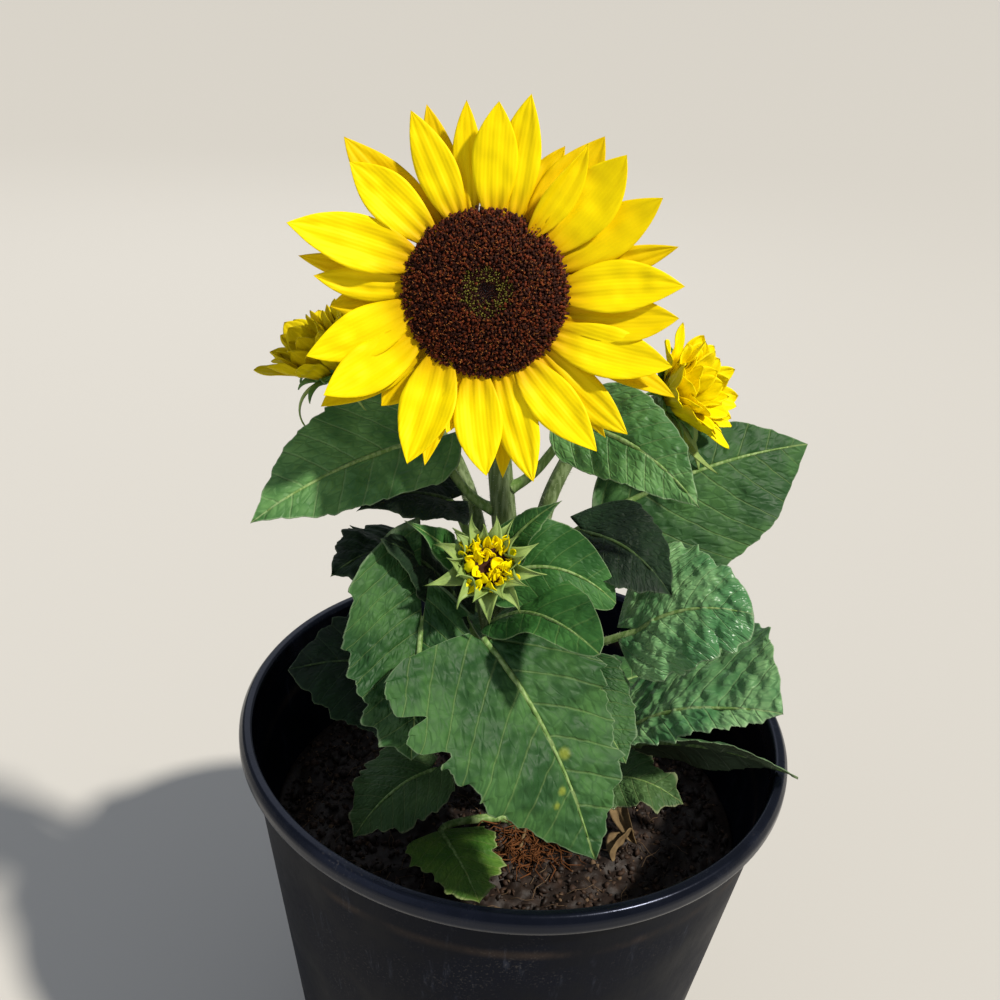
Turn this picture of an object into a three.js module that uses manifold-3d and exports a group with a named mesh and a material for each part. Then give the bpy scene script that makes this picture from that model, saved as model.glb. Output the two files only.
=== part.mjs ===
// Dwarf sunflower in a round plastic nursery pot. Millimetres, +Z up.
// The origin is the middle of the pot's flat underside. -Y is the side the bloom faces.

import * as THREE from 'three';
import { mergeVertices } from 'three/addons/utils/BufferGeometryUtils.js';
import Module from 'manifold-3d';

// Clearance between pieces that touch
const GAP = 0.3;

// Pot: a 10 inch nursery pot, with a rolled rim and drain holes round its foot
const POT = {
  height: 230, baseRadius: 92, neckRadius: 122, wall: 2.2, floor: 3,
  rimOuter: 127, rimInner: 120.5, rimHeight: 9, rimTop: 3, sides: 48,
};
const DRAIN = { count: 8, radius: 5, ring: 66 };

// Potting mix: a low mound round the stem that falls towards the wall
const SOIL = { crown: 178, crownRadius: 24, shoulder: 173, shoulderRadius: 70, edge: 168, skirt: 5 };

// Stems, each a smooth curve through its points, with a radius at both ends
const STEM_SIDES = 8;
const STEMS = {
  main_stem: {
    path: [[6, -18, 178.6], [6, -18, 186], [4, -19, 215], [-3, -20, 270], [-12, -19, 335],
      [-20, -12, 385], [-25, -6, 412], [-26, -9, 425], [-26, -16, 430.2], [-26, -23.4, 433]],
    radii: [6.6, 4.2], flare: 3.4, steps: 16,
  },
  left_stem: {
    path: [[-12, -13.5, 296], [-21, -4, 318], [-30, 4, 342], [-43, 9, 362], [-61, 12, 371],
      [-80, 11.5, 379], [-86, 10, 386]],
    radii: [3.8, 2.9], flare: 0, steps: 9,
  },
  right_stem: {
    path: [[-3, -12.5, 302], [2, -5, 324], [8, 4, 346], [18, 13, 363], [32, 17, 373],
      [43.5, 14.8, 381], [50, 11, 386]],
    radii: [3.8, 2.9], flare: 0, steps: 9,
  },
  bud_stem: {
    path: [[-4.4, -27.6, 256], [-9, -34, 274], [-15, -38, 296], [-18.5, -39, 312], [-19, -42.5, 324],
      [-18.6, -49.6, 331.6]],
    radii: [3.3, 2.7], flare: 0, steps: 7,
  },
};

// Main bloom: seed disc, receptacle behind it and a ring of ray petals.
// Each petal has its direction in degrees clockwise from the top and its tip's radius.
const BLOOM = {
  centre: [-26, -42, 440], tilt: 21, discRadius: 28.8, dome: 7, rimDepth: 3, cup: 19.5,
  segments: 24, ringInner: 29.4, ringThickness: 1.6, ringDish: 5, valley: 0.84,
};
const PETALS = [
  [0, 64], [9, 68], [30, 61], [35, 69], [42, 67], [57, 67], [73, 70], [83, 69], [93, 68], [107, 70],
  [113, 76], [131, 70], [135, 65], [141, 68], [161, 68], [171, 64], [176, 64], [195, 64], [200, 66],
  [231, 70], [246, 66], [261, 55], [271, 60], [277, 68], [284, 72], [309, 65], [313, 72], [333, 66],
  [338, 68], [349, 66],
];

// Smaller heads, each on the end of its stem and facing as the stem ends.
// A profile is a list of [radius, distance from the stem's end].
const HEAD_SEGMENTS = 14;
const HEADS = {
  left_flower: { stem: 'left_stem', profile: [[3, 0], [9, 3], [12, 9], [15, 20], [12, 27], [0, 28]] },
  right_flower: { stem: 'right_stem', profile: [[3, 0], [11, 3], [17, 10], [22, 21], [16, 28], [0, 29]] },
  front_bud: { stem: 'bud_stem', profile: [[3, 0], [9, 2], [12, 8], [17, 13], [10.5, 15], [8, 18], [0, 19]] },
};

// Leaves. base and tip are the ends of the midrib, and halves are the widths on its two sides.
// arch lifts the middle, roll turns the blade about its midrib in degrees, full rounds the outline,
// lobes are the two ears behind the base as shares of the length, and sweep draws the margins back.
// from is the height on the main stem where the stalk starts. Sides go left, right, as
// seen along the midrib from the base with the upper face up.
const LEAVES = {
  upper_left: {
    base: [-47, -13, 369], tip: [-109, -53, 347], halves: [21, 27],
    roll: 40, full: 0.6, from: 343,
  },
  under_bloom: { base: [-36, -16, 345], tip: [-70, -40, 350], halves: [17, 15], roll: 20, from: 318 },
  far_left: {
    base: [-52, -6, 311], tip: [-81, -34, 316], halves: [18, 18],
    arch: 6, roll: 20, full: 0.5, from: 290,
  },
  upper_right: {
    base: [14, -18, 383], tip: [58, -54, 370], halves: [20, 18],
    arch: 6, roll: -50, full: 0.6, from: 352,
  },
  far_right: {
    base: [40, -2, 344], tip: [116, 18, 369], halves: [22, 44],
    arch: 4, roll: -52, fold: -5, full: 0.5, from: 316,
  },
  inner_right: {
    base: [20, -20, 337], tip: [55, -50, 328], halves: [20, 24],
    arch: 6, roll: -25, full: 0.6, from: 300,
  },
  inner_left: {
    base: [-28, -26, 300], tip: [-57, -53, 345], halves: [18, 15],
    arch: 4, roll: 50, full: 0.5, from: 274,
  },
  front: {
    base: [-16, -60, 306], tip: [34, -100, 236], halves: [32, 48], arch: 8, roll: -22, full: 0.5,
    lobes: [0, 0.05], sweep: [-0.05, 0.35], from: 226,
  },
  front_left: {
    base: [-41, -56, 308], tip: [-38, -79, 274], halves: [16, 25], arch: 6, roll: 10, full: 0.5,
    lobes: [0.2, 0.55], from: 250,
  },
  mid_right: {
    base: [46, -37, 302], tip: [86, -52, 324], halves: [27, 21],
    arch: 6, roll: -50, full: 0.45, from: 270,
  },
  low_right: {
    base: [50, -31, 248], tip: [105, -58, 282], halves: [40, 10], arch: 6, roll: -36, full: 0.5,
    sweep: [-0.5, 0], from: 214,
  },
  rim_right: {
    base: [58, -10, 223], tip: [126, -36, 233], halves: [17, 15],
    arch: 6, roll: 8, from: 206,
  },
  front_right: {
    base: [14, -48, 280], tip: [44, -72, 262], halves: [22, 18],
    roll: -20, full: 0.5, from: 244,
  },
  foot_right: {
    base: [44, -32, 220], tip: [75, -48, 223], halves: [12, 14],
    arch: 4, roll: -20, full: 0.5, from: 196,
  },
  low_left: {
    base: [-40, -8, 246], tip: [-100, -30, 264], halves: [34, 26],
    arch: 8, roll: 35, full: 0.4, from: 218,
  },
  foot_left: {
    base: [-38, -24, 208], tip: [-68, -54, 194], halves: [20, 20],
    arch: 6, roll: 10, full: 0.5, from: 196,
  },
  soil_left: {
    base: [-30, -38, 186], tip: [-10, -81, 190], halves: [18, 20], arch: 3, full: 0.5, lobes: [0, 0],
    wave: 1.5, from: 182,
  },
  back_left: { base: [-22, 20, 286], tip: [-84, 62, 268], halves: [26, 26], arch: 10, from: 262 },
  back_right: { base: [14, 20, 290], tip: [74, 70, 272], halves: [26, 26], arch: 10, from: 280 },
  back_middle: { base: [-6, 22, 256], tip: [-10, 100, 240], halves: [30, 30], arch: 12, from: 240 },
  back_low_left: { base: [-22, 14, 222], tip: [-90, 50, 212], halves: [28, 28], arch: 10, from: 206 },
  back_low_right: { base: [28, 14, 224], tip: [92, 56, 212], halves: [28, 28], arch: 10, from: 218 },
};
const LEAF_DEFAULTS = {
  arch: 5, roll: 0, fold: 0, full: 0.8, lobes: [0.2, 0.2], sweep: [0, 0], wave: 2.5, thickness: 1.2,
};
const LEAF_GRID = { along: 7, across: 4 };

// Young leaves that sit straight on the bud's stem, at a height on it
const YOUNG_LEAVES = {
  bud_leaf_right: { tip: [29, -54, 325], halves: [17, 10], arch: 11, roll: -52, full: 0.35, from: 323 },
  bud_leaf_front: { tip: [20, -97, 327], halves: [10, 11], arch: 8, roll: -28, full: 0.4, from: 302 },
  bud_leaf_left: { tip: [-49, -52, 353], halves: [9, 9], arch: 3, roll: 40, from: 318 },
  bud_leaf_back: { tip: [7, -48, 364], halves: [9, 10], arch: 3, roll: -60, from: 325 },
};

// Leaf stalks: they rise from the stem at a slope, bow out and run in under the blade
const STALK = {
  footRadius: 2.4, headRadius: 1.7, sides: 6, steps: 4, slope: 0.35, footReach: 0.4, headReach: 10,
};

const COLOURS = {
  pot: 0x15171b, soil: 0x3a2a20, stem: 0x7f9a5a, leaf: 0x3f7a3a, stalk: 0x86a060,
  disc: 0x33180e, petal: 0xffe000, bud: 0x9db25a,
};

const v = (p) => new THREE.Vector3(...p);
const radians = THREE.MathUtils.degToRad;

function finish(name, geometry, colour, roughness = 0.6) {
  const material = new THREE.MeshStandardMaterial({ color: colour, roughness, metalness: 0 });
  const mesh = new THREE.Mesh(geometry, material);
  mesh.name = name;
  return mesh;
}

// Closed solid from an ordered list of rings with equal point counts, capped flat at both ends.
// Its triangles are turned round if they enclose a negative volume.
function loft(rings) {
  const count = rings[0].length;
  const points = rings.flat();
  const faces = [];
  for (let i = 0; i + 1 < rings.length; i++) {
    for (let j = 0; j < count; j++) {
      const a = i * count + j;
      const b = i * count + (j + 1) % count;
      faces.push(a, b, a + count, b, b + count, a + count);
    }
  }
  for (const [start, flip] of [[0, true], [(rings.length - 1) * count, false]]) {
    const middle = new THREE.Vector3();
    for (let j = 0; j < count; j++) middle.add(points[start + j]);
    points.push(middle.divideScalar(count));
    for (let j = 0; j < count; j++) {
      const a = start + j;
      const b = start + (j + 1) % count;
      faces.push(...(flip ? [b, a, points.length - 1] : [a, b, points.length - 1]));
    }
  }
  return solid(points, faces);
}

function solid(points, faces) {
  let volume = 0;
  for (let i = 0; i < faces.length; i += 3) {
    const [a, b, c] = [points[faces[i]], points[faces[i + 1]], points[faces[i + 2]]];
    volume += a.dot(new THREE.Vector3().crossVectors(b, c));
  }
  if (volume < 0) {
    for (let i = 0; i < faces.length; i += 3) [faces[i], faces[i + 1]] = [faces[i + 1], faces[i]];
  }
  const geometry = new THREE.BufferGeometry();
  geometry.setAttribute('position', new THREE.Float32BufferAttribute(points.flatMap((p) => p.toArray()), 3));
  geometry.setIndex(faces);
  geometry.computeVertexNormals();
  return geometry;
}

// Round limb along a curve; radius(s) is given for s from 0 at its foot to 1 at its head.
function limb(curve, radius, sides, steps) {
  const frames = curve.computeFrenetFrames(steps, false);
  const rings = [];
  for (let i = 0; i <= steps; i++) {
    const centre = curve.getPointAt(i / steps);
    const r = radius(i / steps);
    rings.push(Array.from({ length: sides }, (_, j) => {
      const angle = (2 * Math.PI * j) / sides;
      return centre.clone()
        .addScaledVector(frames.normals[i], r * Math.cos(angle))
        .addScaledVector(frames.binormals[i], r * Math.sin(angle));
    }));
  }
  return loft(rings);
}

const stemCurves = {};
const stemRadius = {};
for (const [name, stem] of Object.entries(STEMS)) {
  stemCurves[name] = new THREE.CatmullRomCurve3(stem.path.map(v));
  const [foot, head] = stem.radii;
  stemRadius[name] = (s) => THREE.MathUtils.lerp(foot, head, s) + stem.flare * Math.exp(-s / 0.035);
}

// Where a stem's axis reaches a height, with its direction and radius there
function stemAt(name, height) {
  let low = 0;
  let high = 1;
  for (let i = 0; i < 30; i++) {
    const middle = (low + high) / 2;
    if (stemCurves[name].getPointAt(middle).z < height) low = middle;
    else high = middle;
  }
  const curve = stemCurves[name];
  return { point: curve.getPointAt(low), rise: curve.getTangentAt(low), radius: stemRadius[name](low) };
}

// The part of a direction that is square to a stem
const sideways = (way, rise) => way.clone().addScaledVector(rise, -way.dot(rise)).normalize();

// Leaf directions: along the midrib, across it and out of the upper face, before and after the roll
function leafAxes(leaf) {
  const along = v(leaf.tip).sub(v(leaf.base));
  const length = along.length();
  along.normalize();
  const level = new THREE.Vector3().crossVectors(along, new THREE.Vector3(0, 0, 1)).normalize();
  const lift = new THREE.Vector3().crossVectors(level, along);
  const roll = radians(leaf.roll);
  const across = level.clone().multiplyScalar(Math.cos(roll)).addScaledVector(lift, Math.sin(roll));
  const out = lift.clone().multiplyScalar(Math.cos(roll)).addScaledVector(level, -Math.sin(roll));
  return { along, length, lift, across, out };
}

// Share of the full half width at u along the midrib: quick to widen, then tapering to the tip
function leafOutline(u, full) {
  const shape = (x) => (1 - x) ** full * (1 - Math.exp(-(x + 0.004) / 0.09)) ** 0.8;
  let widest = 0;
  for (let i = 0; i < 100; i++) widest = Math.max(widest, shape(i / 100));
  return Math.max(shape(Math.min(u, 1)) / widest, 0.03);
}

// Blade: a heart-shaped sheet with an arched midrib and wavy margins
function blade(spec) {
  const leaf = { ...LEAF_DEFAULTS, ...spec };
  const { along, length, lift, across, out } = leafAxes(leaf);
  const { along: rows, across: columns } = LEAF_GRID;
  const half = columns + 1;
  const points = [];
  for (const face of [1, -1]) {
    for (let i = 0; i <= rows; i++) {
      const u = (i / rows) ** 1.25;
      const share = leafOutline(u, leaf.full);
      for (let j = 0; j <= columns; j++) {
        const t = (2 * j) / columns - 1;
        const side = t < 0 ? 0 : 1;
        const width = leaf.halves[side] * share;
        const back = leaf.lobes[side] * length * Math.abs(t) ** 1.5 * (1 - u) ** 4
          + leaf.sweep[side] * width * Math.abs(t);
        const fold = radians(leaf.fold);
        const ripple = leaf.wave * t * t * share * Math.sin(2 * Math.PI * 1.7 * u + 1.2 * Math.sign(t));
        points.push(v(leaf.base)
          .addScaledVector(along, u * length - back)
          .addScaledVector(across, width * t * Math.cos(fold))
          .addScaledVector(lift, leaf.arch * 4 * u * (1 - u))
          .addScaledVector(out, width * Math.abs(t) * Math.sin(fold) + ripple + face * leaf.thickness / 2));
      }
    }
  }
  const lower = (rows + 1) * half;
  const faces = [];
  for (let i = 0; i < rows; i++) {
    for (let j = 0; j < columns; j++) {
      const a = i * half + j;
      faces.push(a, a + 1, a + half, a + 1, a + half + 1, a + half);
      faces.push(lower + a, lower + a + half, lower + a + 1);
      faces.push(lower + a + 1, lower + a + half, lower + a + half + 1);
    }
  }
  const margin = [];
  for (let j = 0; j < columns; j++) margin.push(j);
  for (let i = 0; i < rows; i++) margin.push(i * half + columns);
  for (let j = columns; j > 0; j--) margin.push(rows * half + j);
  for (let i = rows; i > 0; i--) margin.push(i * half);
  margin.forEach((a, k) => {
    const b = margin[(k + 1) % margin.length];
    faces.push(a, lower + a, b, b, lower + a, lower + b);
  });
  return solid(points, faces);
}

// Stalk: leaves the stem sideways and meets the blade's underside in line with the midrib
function stalk(spec) {
  const leaf = { ...LEAF_DEFAULTS, ...spec };
  const { along, out } = leafAxes(leaf);
  const stem = stemAt('main_stem', leaf.from);
  const under = leaf.thickness / 2 + STALK.headRadius + GAP;
  const head = v(leaf.base).addScaledVector(out, -under).addScaledVector(along, 1);
  const way = head.clone().sub(stem.point);
  const span = way.length();
  const side = sideways(way, stem.rise);
  const start = side.clone().addScaledVector(stem.rise, STALK.slope).normalize();
  const foot = stem.point.clone()
    .addScaledVector(side, stem.radius + STALK.footRadius * STALK.slope + GAP);
  const curve = new THREE.CubicBezierCurve3(
    foot,
    foot.clone().addScaledVector(start, span * STALK.footReach),
    head.clone().addScaledVector(along, -STALK.headReach),
    head,
  );
  const radius = (s) => THREE.MathUtils.lerp(STALK.footRadius, STALK.headRadius, s);
  return limb(curve, radius, STALK.sides, STALK.steps);
}

// Turns a solid made about +Z so that +Z faces a direction, and puts its origin at a point
function face(geometry, direction, place) {
  const turn = new THREE.Quaternion().setFromUnitVectors(new THREE.Vector3(0, 0, 1), direction);
  geometry.applyQuaternion(turn);
  geometry.translate(place.x, place.y, place.z);
  return geometry;
}

const lathe = (profile, segments) => new THREE.LatheGeometry(
  profile.map(([r, z]) => new THREE.Vector2(r, z)), segments,
).rotateX(Math.PI / 2);

// Pot shell, drawn as one closed section: up the outside, over the rolled rim and down the inside
function potShell() {
  const { height, baseRadius, neckRadius, wall, floor, rimOuter, rimInner, rimHeight, rimTop } = POT;
  const rimFoot = height - rimHeight;
  return lathe([
    [0, 0], [baseRadius - 3, 0], [baseRadius, 3], [neckRadius, rimFoot], [rimOuter - 1, rimFoot],
    [rimOuter, rimFoot + 2], [rimOuter, height - rimTop], [rimOuter - 2, height],
    [rimInner + 1, height], [rimInner, height - 2], [neckRadius - wall - 0.6, rimFoot - 2],
    [baseRadius - wall, floor + 3], [baseRadius - wall - 3, floor], [0, floor],
  ], POT.sides);
}

const wasm = await Module();
wasm.setup();

function toManifold(geometry) {
  const bare = geometry.clone();
  for (const attribute of ['normal', 'uv']) bare.deleteAttribute(attribute);
  const merged = mergeVertices(bare, 1e-3);
  return new wasm.Manifold(new wasm.Mesh({
    numProp: 3,
    vertProperties: Float32Array.from(merged.attributes.position.array),
    triVerts: Uint32Array.from(merged.index.array),
  }));
}

function fromManifold(shape) {
  const { vertProperties, triVerts } = shape.getMesh();
  const geometry = new THREE.BufferGeometry();
  geometry.setAttribute('position', new THREE.BufferAttribute(vertProperties, 3));
  geometry.setIndex(new THREE.BufferAttribute(triVerts, 1));
  geometry.computeVertexNormals();
  return geometry;
}

// The pot's floor is pierced by a ring of drain holes, so its middle stays solid
function pot() {
  let shell = toManifold(potShell());
  for (let i = 0; i < DRAIN.count; i++) {
    const angle = (2 * Math.PI * (i + 0.5)) / DRAIN.count;
    const hole = new THREE.CylinderGeometry(DRAIN.radius, DRAIN.radius, POT.floor * 4, 10)
      .rotateX(Math.PI / 2)
      .translate(DRAIN.ring * Math.cos(angle), DRAIN.ring * Math.sin(angle), 0);
    shell = shell.subtract(toManifold(hole));
  }
  return fromManifold(shell);
}

// Potting mix fills the pot from its floor up to the mound
function soil() {
  const innerAt = (z) => THREE.MathUtils.mapLinear(
    z, POT.floor + 3, POT.height - POT.rimHeight - 2,
    POT.baseRadius - POT.wall, POT.neckRadius - POT.wall - 0.6,
  ) - GAP - 0.2;
  const bottom = POT.floor + GAP;
  return lathe([
    [0, bottom], [innerAt(bottom + SOIL.skirt) - 4, bottom],
    [innerAt(bottom + SOIL.skirt), bottom + SOIL.skirt],
    [innerAt(SOIL.edge), SOIL.edge], [SOIL.shoulderRadius, SOIL.shoulder],
    [SOIL.crownRadius, SOIL.crown], [0, SOIL.crown],
  ], POT.sides);
}

const tilt = radians(BLOOM.tilt);
const bloomFacing = new THREE.Vector3(0, -Math.cos(tilt), Math.sin(tilt));
const bloomUp = new THREE.Vector3(0, Math.sin(tilt), Math.cos(tilt));
const bloomRight = new THREE.Vector3().crossVectors(bloomUp, bloomFacing);

// Seed disc with a domed front, and the green receptacle that tapers back to the stem
function bloomDisc() {
  const { discRadius: r, dome, rimDepth, cup, segments } = BLOOM;
  const profile = [[0, -cup], [6, -cup + 0.5], [20, -cup + 6], [r - 2, -cup + 12], [r, -rimDepth],
    [r - 1, 1], [r * 0.7, dome * 0.75], [r * 0.35, dome], [0, dome * 0.8]];
  return face(lathe(profile, segments), bloomFacing, v(BLOOM.centre));
}

// Ring of ray petals: one dished sheet whose outer edge runs from tip to valley to tip
function petalRing() {
  const outline = [];
  PETALS.forEach(([angle, reach], i) => {
    const [nextAngle, nextReach] = PETALS[(i + 1) % PETALS.length];
    const gap = (nextAngle - angle + 360) % 360;
    const shortest = Math.min(reach, nextReach);
    outline.push([angle, reach]);
    outline.push([angle + gap / 2, shortest * (gap < 9 ? 0.94 : BLOOM.valley)]);
  });
  const place = (angle, radius, height) => v(BLOOM.centre)
    .addScaledVector(bloomRight, radius * Math.sin(radians(angle)))
    .addScaledVector(bloomUp, radius * Math.cos(radians(angle)))
    .addScaledVector(bloomFacing, height);
  const thick = BLOOM.ringThickness / 2;
  const rings = [];
  const shares = [0, 0.5, 1];
  for (const [share, side] of [...shares.map((s) => [s, 1]), ...shares.toReversed().map((s) => [s, -1])]) {
    rings.push(outline.map(([angle, reach]) => {
      const radius = THREE.MathUtils.lerp(BLOOM.ringInner, reach, share);
      return place(angle, radius, BLOOM.ringDish * share * share - BLOOM.rimDepth + side * thick);
    }));
  }
  const count = outline.length;
  const faces = [];
  rings.forEach((ring, i) => {
    const next = ((i + 1) % rings.length) * count;
    for (let j = 0; j < count; j++) {
      const a = i * count + j;
      const b = i * count + (j + 1) % count;
      const c = next + j;
      const d = next + (j + 1) % count;
      faces.push(a, b, c, b, d, c);
    }
  });
  return solid(rings.flat(), faces);
}

const plant = new THREE.Group();
plant.add(finish('pot', pot(), COLOURS.pot, 0.45));
plant.add(finish('soil', soil(), COLOURS.soil, 0.95));

for (const [name, stem] of Object.entries(STEMS)) {
  const geometry = limb(stemCurves[name], stemRadius[name], STEM_SIDES, stem.steps);
  plant.add(finish(name, geometry, COLOURS.stem));
}

const heads = new THREE.Group();
heads.add(finish('bloom_disc', bloomDisc(), COLOURS.disc, 0.9));
heads.add(finish('bloom_petals', petalRing(), COLOURS.petal, 0.5));
for (const [name, head] of Object.entries(HEADS)) {
  const facing = stemCurves[head.stem].getTangentAt(1);
  const foot = stemCurves[head.stem].getPointAt(1).addScaledVector(facing, GAP);
  const geometry = face(lathe([[0, 0], ...head.profile], HEAD_SEGMENTS), facing, foot);
  heads.add(finish(name, geometry, name === 'front_bud' ? COLOURS.bud : COLOURS.petal));
}
plant.add(heads);

const foliage = new THREE.Group();
for (const [name, leaf] of Object.entries(LEAVES)) {
  foliage.add(finish(`${name}_leaf`, blade(leaf), COLOURS.leaf));
  foliage.add(finish(`${name}_stalk`, stalk(leaf), COLOURS.stalk));
}
for (const [name, leaf] of Object.entries(YOUNG_LEAVES)) {
  const stem = stemAt('bud_stem', leaf.from);
  const side = sideways(v(leaf.tip).sub(stem.point), stem.rise);
  const base = stem.point.addScaledVector(side, stem.radius + LEAF_DEFAULTS.thickness / 2 + GAP).toArray();
  foliage.add(finish(name, blade({ lobes: [0, 0], ...leaf, base }), COLOURS.leaf));
}
plant.add(foliage);

export default plant;
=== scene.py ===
# Dwarf sunflower in a round nursery pot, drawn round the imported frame.
# Shapes are worked out in millimetres along the frame's own axes, and build() turns them to metres.
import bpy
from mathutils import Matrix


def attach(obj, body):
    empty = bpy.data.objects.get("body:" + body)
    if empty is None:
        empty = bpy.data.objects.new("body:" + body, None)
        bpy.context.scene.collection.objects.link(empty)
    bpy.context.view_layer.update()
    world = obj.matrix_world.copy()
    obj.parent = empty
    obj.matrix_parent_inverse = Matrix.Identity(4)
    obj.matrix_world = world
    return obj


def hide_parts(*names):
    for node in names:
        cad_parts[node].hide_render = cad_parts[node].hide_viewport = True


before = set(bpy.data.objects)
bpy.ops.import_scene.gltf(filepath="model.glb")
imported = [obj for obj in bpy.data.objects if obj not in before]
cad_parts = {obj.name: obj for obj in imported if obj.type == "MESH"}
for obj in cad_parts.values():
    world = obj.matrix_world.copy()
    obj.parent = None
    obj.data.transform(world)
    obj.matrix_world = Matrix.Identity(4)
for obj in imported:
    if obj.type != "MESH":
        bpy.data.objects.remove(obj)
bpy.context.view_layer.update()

from types import SimpleNamespace

import bpy
import numpy as np
from mathutils import Matrix

MM = 0.001
UP = np.array([0.0, 0.0, 1.0])


# Sizes, as in the frame
POT = dict(height=230, base=92, neck=122, wall=2.2, floor=3, rim_outer=127, rim_inner=120.5, rim_height=9)
DRAIN = dict(count=8, radius=5, ring=66)
SOIL = dict(crown=178, crown_radius=24, shoulder=173, shoulder_radius=70, edge=168, edge_radius=115)

# Centre line of each stem, its radius at the foot and at the head, and how much wider its foot flares
STEMS = {
    "main_stem": dict(
        path=[[6, -18, 174], [6, -18, 186], [4, -19, 215], [-3, -20, 270], [-12, -19, 335],
              [-20, -12, 385], [-25, -6, 412], [-26, -9, 425], [-26, -16, 430.2], [-26, -23.4, 433]],
        radii=(6.6, 4.2), flare=3.4),
    "left_stem": dict(
        path=[[-8.5, -18, 292], [-21, -4, 318], [-30, 4, 342], [-43, 9, 362], [-61, 12, 371],
              [-80, 11.5, 379], [-86, 10, 386]],
        radii=(3.8, 2.9), flare=1.6),
    "right_stem": dict(
        path=[[-6, -18, 296], [2, -5, 324], [8, 4, 346], [18, 13, 363], [32, 17, 373],
              [43.5, 14.8, 381], [50, 11, 386]],
        radii=(3.8, 2.9), flare=1.6),
    "bud_stem": dict(
        path=[[-1.5, -21, 250], [-9, -34, 274], [-15, -38, 296], [-18.5, -39, 312], [-19, -42.5, 324],
              [-18.6, -49.6, 331.6]],
        radii=(3.3, 2.7), flare=1.4),
}

# Main bloom: its tilt in degrees above level, the disc's radius and the height of its dome, the radius where
# the petals start, the height of the hindmost, and how much higher each row in front of them lies
BLOOM = dict(centre=(-26, -42, 440), tilt=21, disc=28.8, dome=7, claws=24.5, hindmost=-3.9, row=1.4)

# How each leaf lies: the ends of its midrib and the half widths left and right of it. Arch lifts its
# middle, roll and fold are in degrees, and a higher full narrows it sooner. Lobes draw the two halves back
# at the stalk, as a share of the length, sweep draws them back all along, wave is the height of the
# margin's waves, and start is the height where the stalk leaves the stem.
LEAVES = {
    "upper_left": dict(base=(-47, -13, 369), tip=(-109, -53, 347), halves=(21, 27), roll=40, full=0.6,
                       start=343),
    "under_bloom": dict(base=(-36, -16, 345), tip=(-70, -40, 350), halves=(17, 15), roll=20, start=318),
    "far_left": dict(base=(-52, -6, 311), tip=(-81, -34, 316), halves=(18, 18), arch=6, roll=20, full=0.5,
                     start=290),
    "upper_right": dict(base=(14, -18, 383), tip=(58, -54, 370), halves=(20, 18), arch=6, roll=-50, full=0.6,
                        start=352),
    "far_right": dict(base=(40, -2, 344), tip=(116, 18, 369), halves=(22, 44), arch=4, roll=-52, fold=-5,
                      full=0.5, start=316),
    "inner_right": dict(base=(20, -20, 337), tip=(55, -50, 328), halves=(20, 24), arch=6, roll=-25, full=0.6,
                        start=300),
    "inner_left": dict(base=(-28, -26, 300), tip=(-57, -53, 345), halves=(18, 15), arch=4, roll=50, full=0.5,
                       start=274),
    "front": dict(base=(-16, -60, 306), tip=(34, -100, 236), halves=(32, 48), arch=8, roll=-22, full=0.5,
                  lobes=(0, 0.05), sweep=(-0.05, 0.35), start=226),
    "front_left": dict(base=(-42, -54, 310), tip=(-41, -84, 264), halves=(17, 27), arch=7, roll=10, full=0.5,
                       lobes=(0.3, 0.75), start=250),
    "mid_right": dict(base=(46, -37, 302), tip=(86, -52, 324), halves=(30, 24), arch=6, roll=-48, full=0.38,
                      start=270),
    "low_right": dict(base=(50, -31, 248), tip=(105, -58, 282), halves=(45, 11), arch=6, roll=-36, full=0.45,
                      sweep=(-0.5, 0), start=214),
    "rim_right": dict(base=(58, -10, 223), tip=(126, -36, 233), halves=(19, 15), arch=6, roll=58, start=206),
    "front_right": dict(base=(14, -48, 280), tip=(44, -72, 262), halves=(22, 18), roll=-20, full=0.5,
                        start=244),
    "foot_right": dict(base=(44, -32, 220), tip=(75, -48, 223), halves=(12, 14), arch=4, roll=-20, full=0.5,
                       start=196),
    "low_left": dict(base=(-40, -8, 246), tip=(-100, -30, 264), halves=(34, 26), arch=8, roll=35, full=0.4,
                     start=218),
    "foot_left": dict(base=(-38, -24, 208), tip=(-68, -54, 194), halves=(20, 20), arch=6, roll=10, full=0.5,
                      start=196),
    "soil_left": dict(base=(-30, -38, 186), tip=(-10, -81, 190), halves=(18, 20), arch=3, full=0.5,
                      lobes=(0, 0), wave=1.5, start=182),
    "back_left": dict(base=(-22, 20, 286), tip=(-84, 62, 268), halves=(26, 26), arch=10, start=262),
    "back_right": dict(base=(14, 20, 290), tip=(74, 70, 272), halves=(26, 26), arch=10, start=280),
    "back_middle": dict(base=(-6, 22, 256), tip=(-10, 100, 240), halves=(30, 30), arch=12, start=240),
    "back_low_left": dict(base=(-22, 14, 222), tip=(-90, 50, 212), halves=(28, 28), arch=10, start=206),
    "back_low_right": dict(base=(28, 14, 224), tip=(92, 56, 212), halves=(28, 28), arch=10, start=218),
}
# Young leaves that sit straight on the bud's stem
YOUNG_LEAVES = {
    "bud_leaf_right": dict(tip=(33, -54, 325), halves=(20, 15), arch=11, roll=-52, full=0.35, start=323),
    "bud_leaf_front": dict(tip=(24, -95, 329), halves=(21, 12), arch=9, roll=-30, full=0.38, start=302),
    "bud_leaf_left": dict(tip=(-49, -52, 353), halves=(9, 9), arch=3, roll=40, start=318),
    "bud_leaf_back": dict(tip=(7, -48, 364), halves=(9, 10), arch=3, roll=-60, start=325),
}
LEAF_DEFAULTS = dict(arch=5, roll=0, fold=0, full=0.8, lobes=(0.2, 0.2), sweep=(0, 0), wave=2.5)
LEAF_THICK = 0.6

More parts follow.
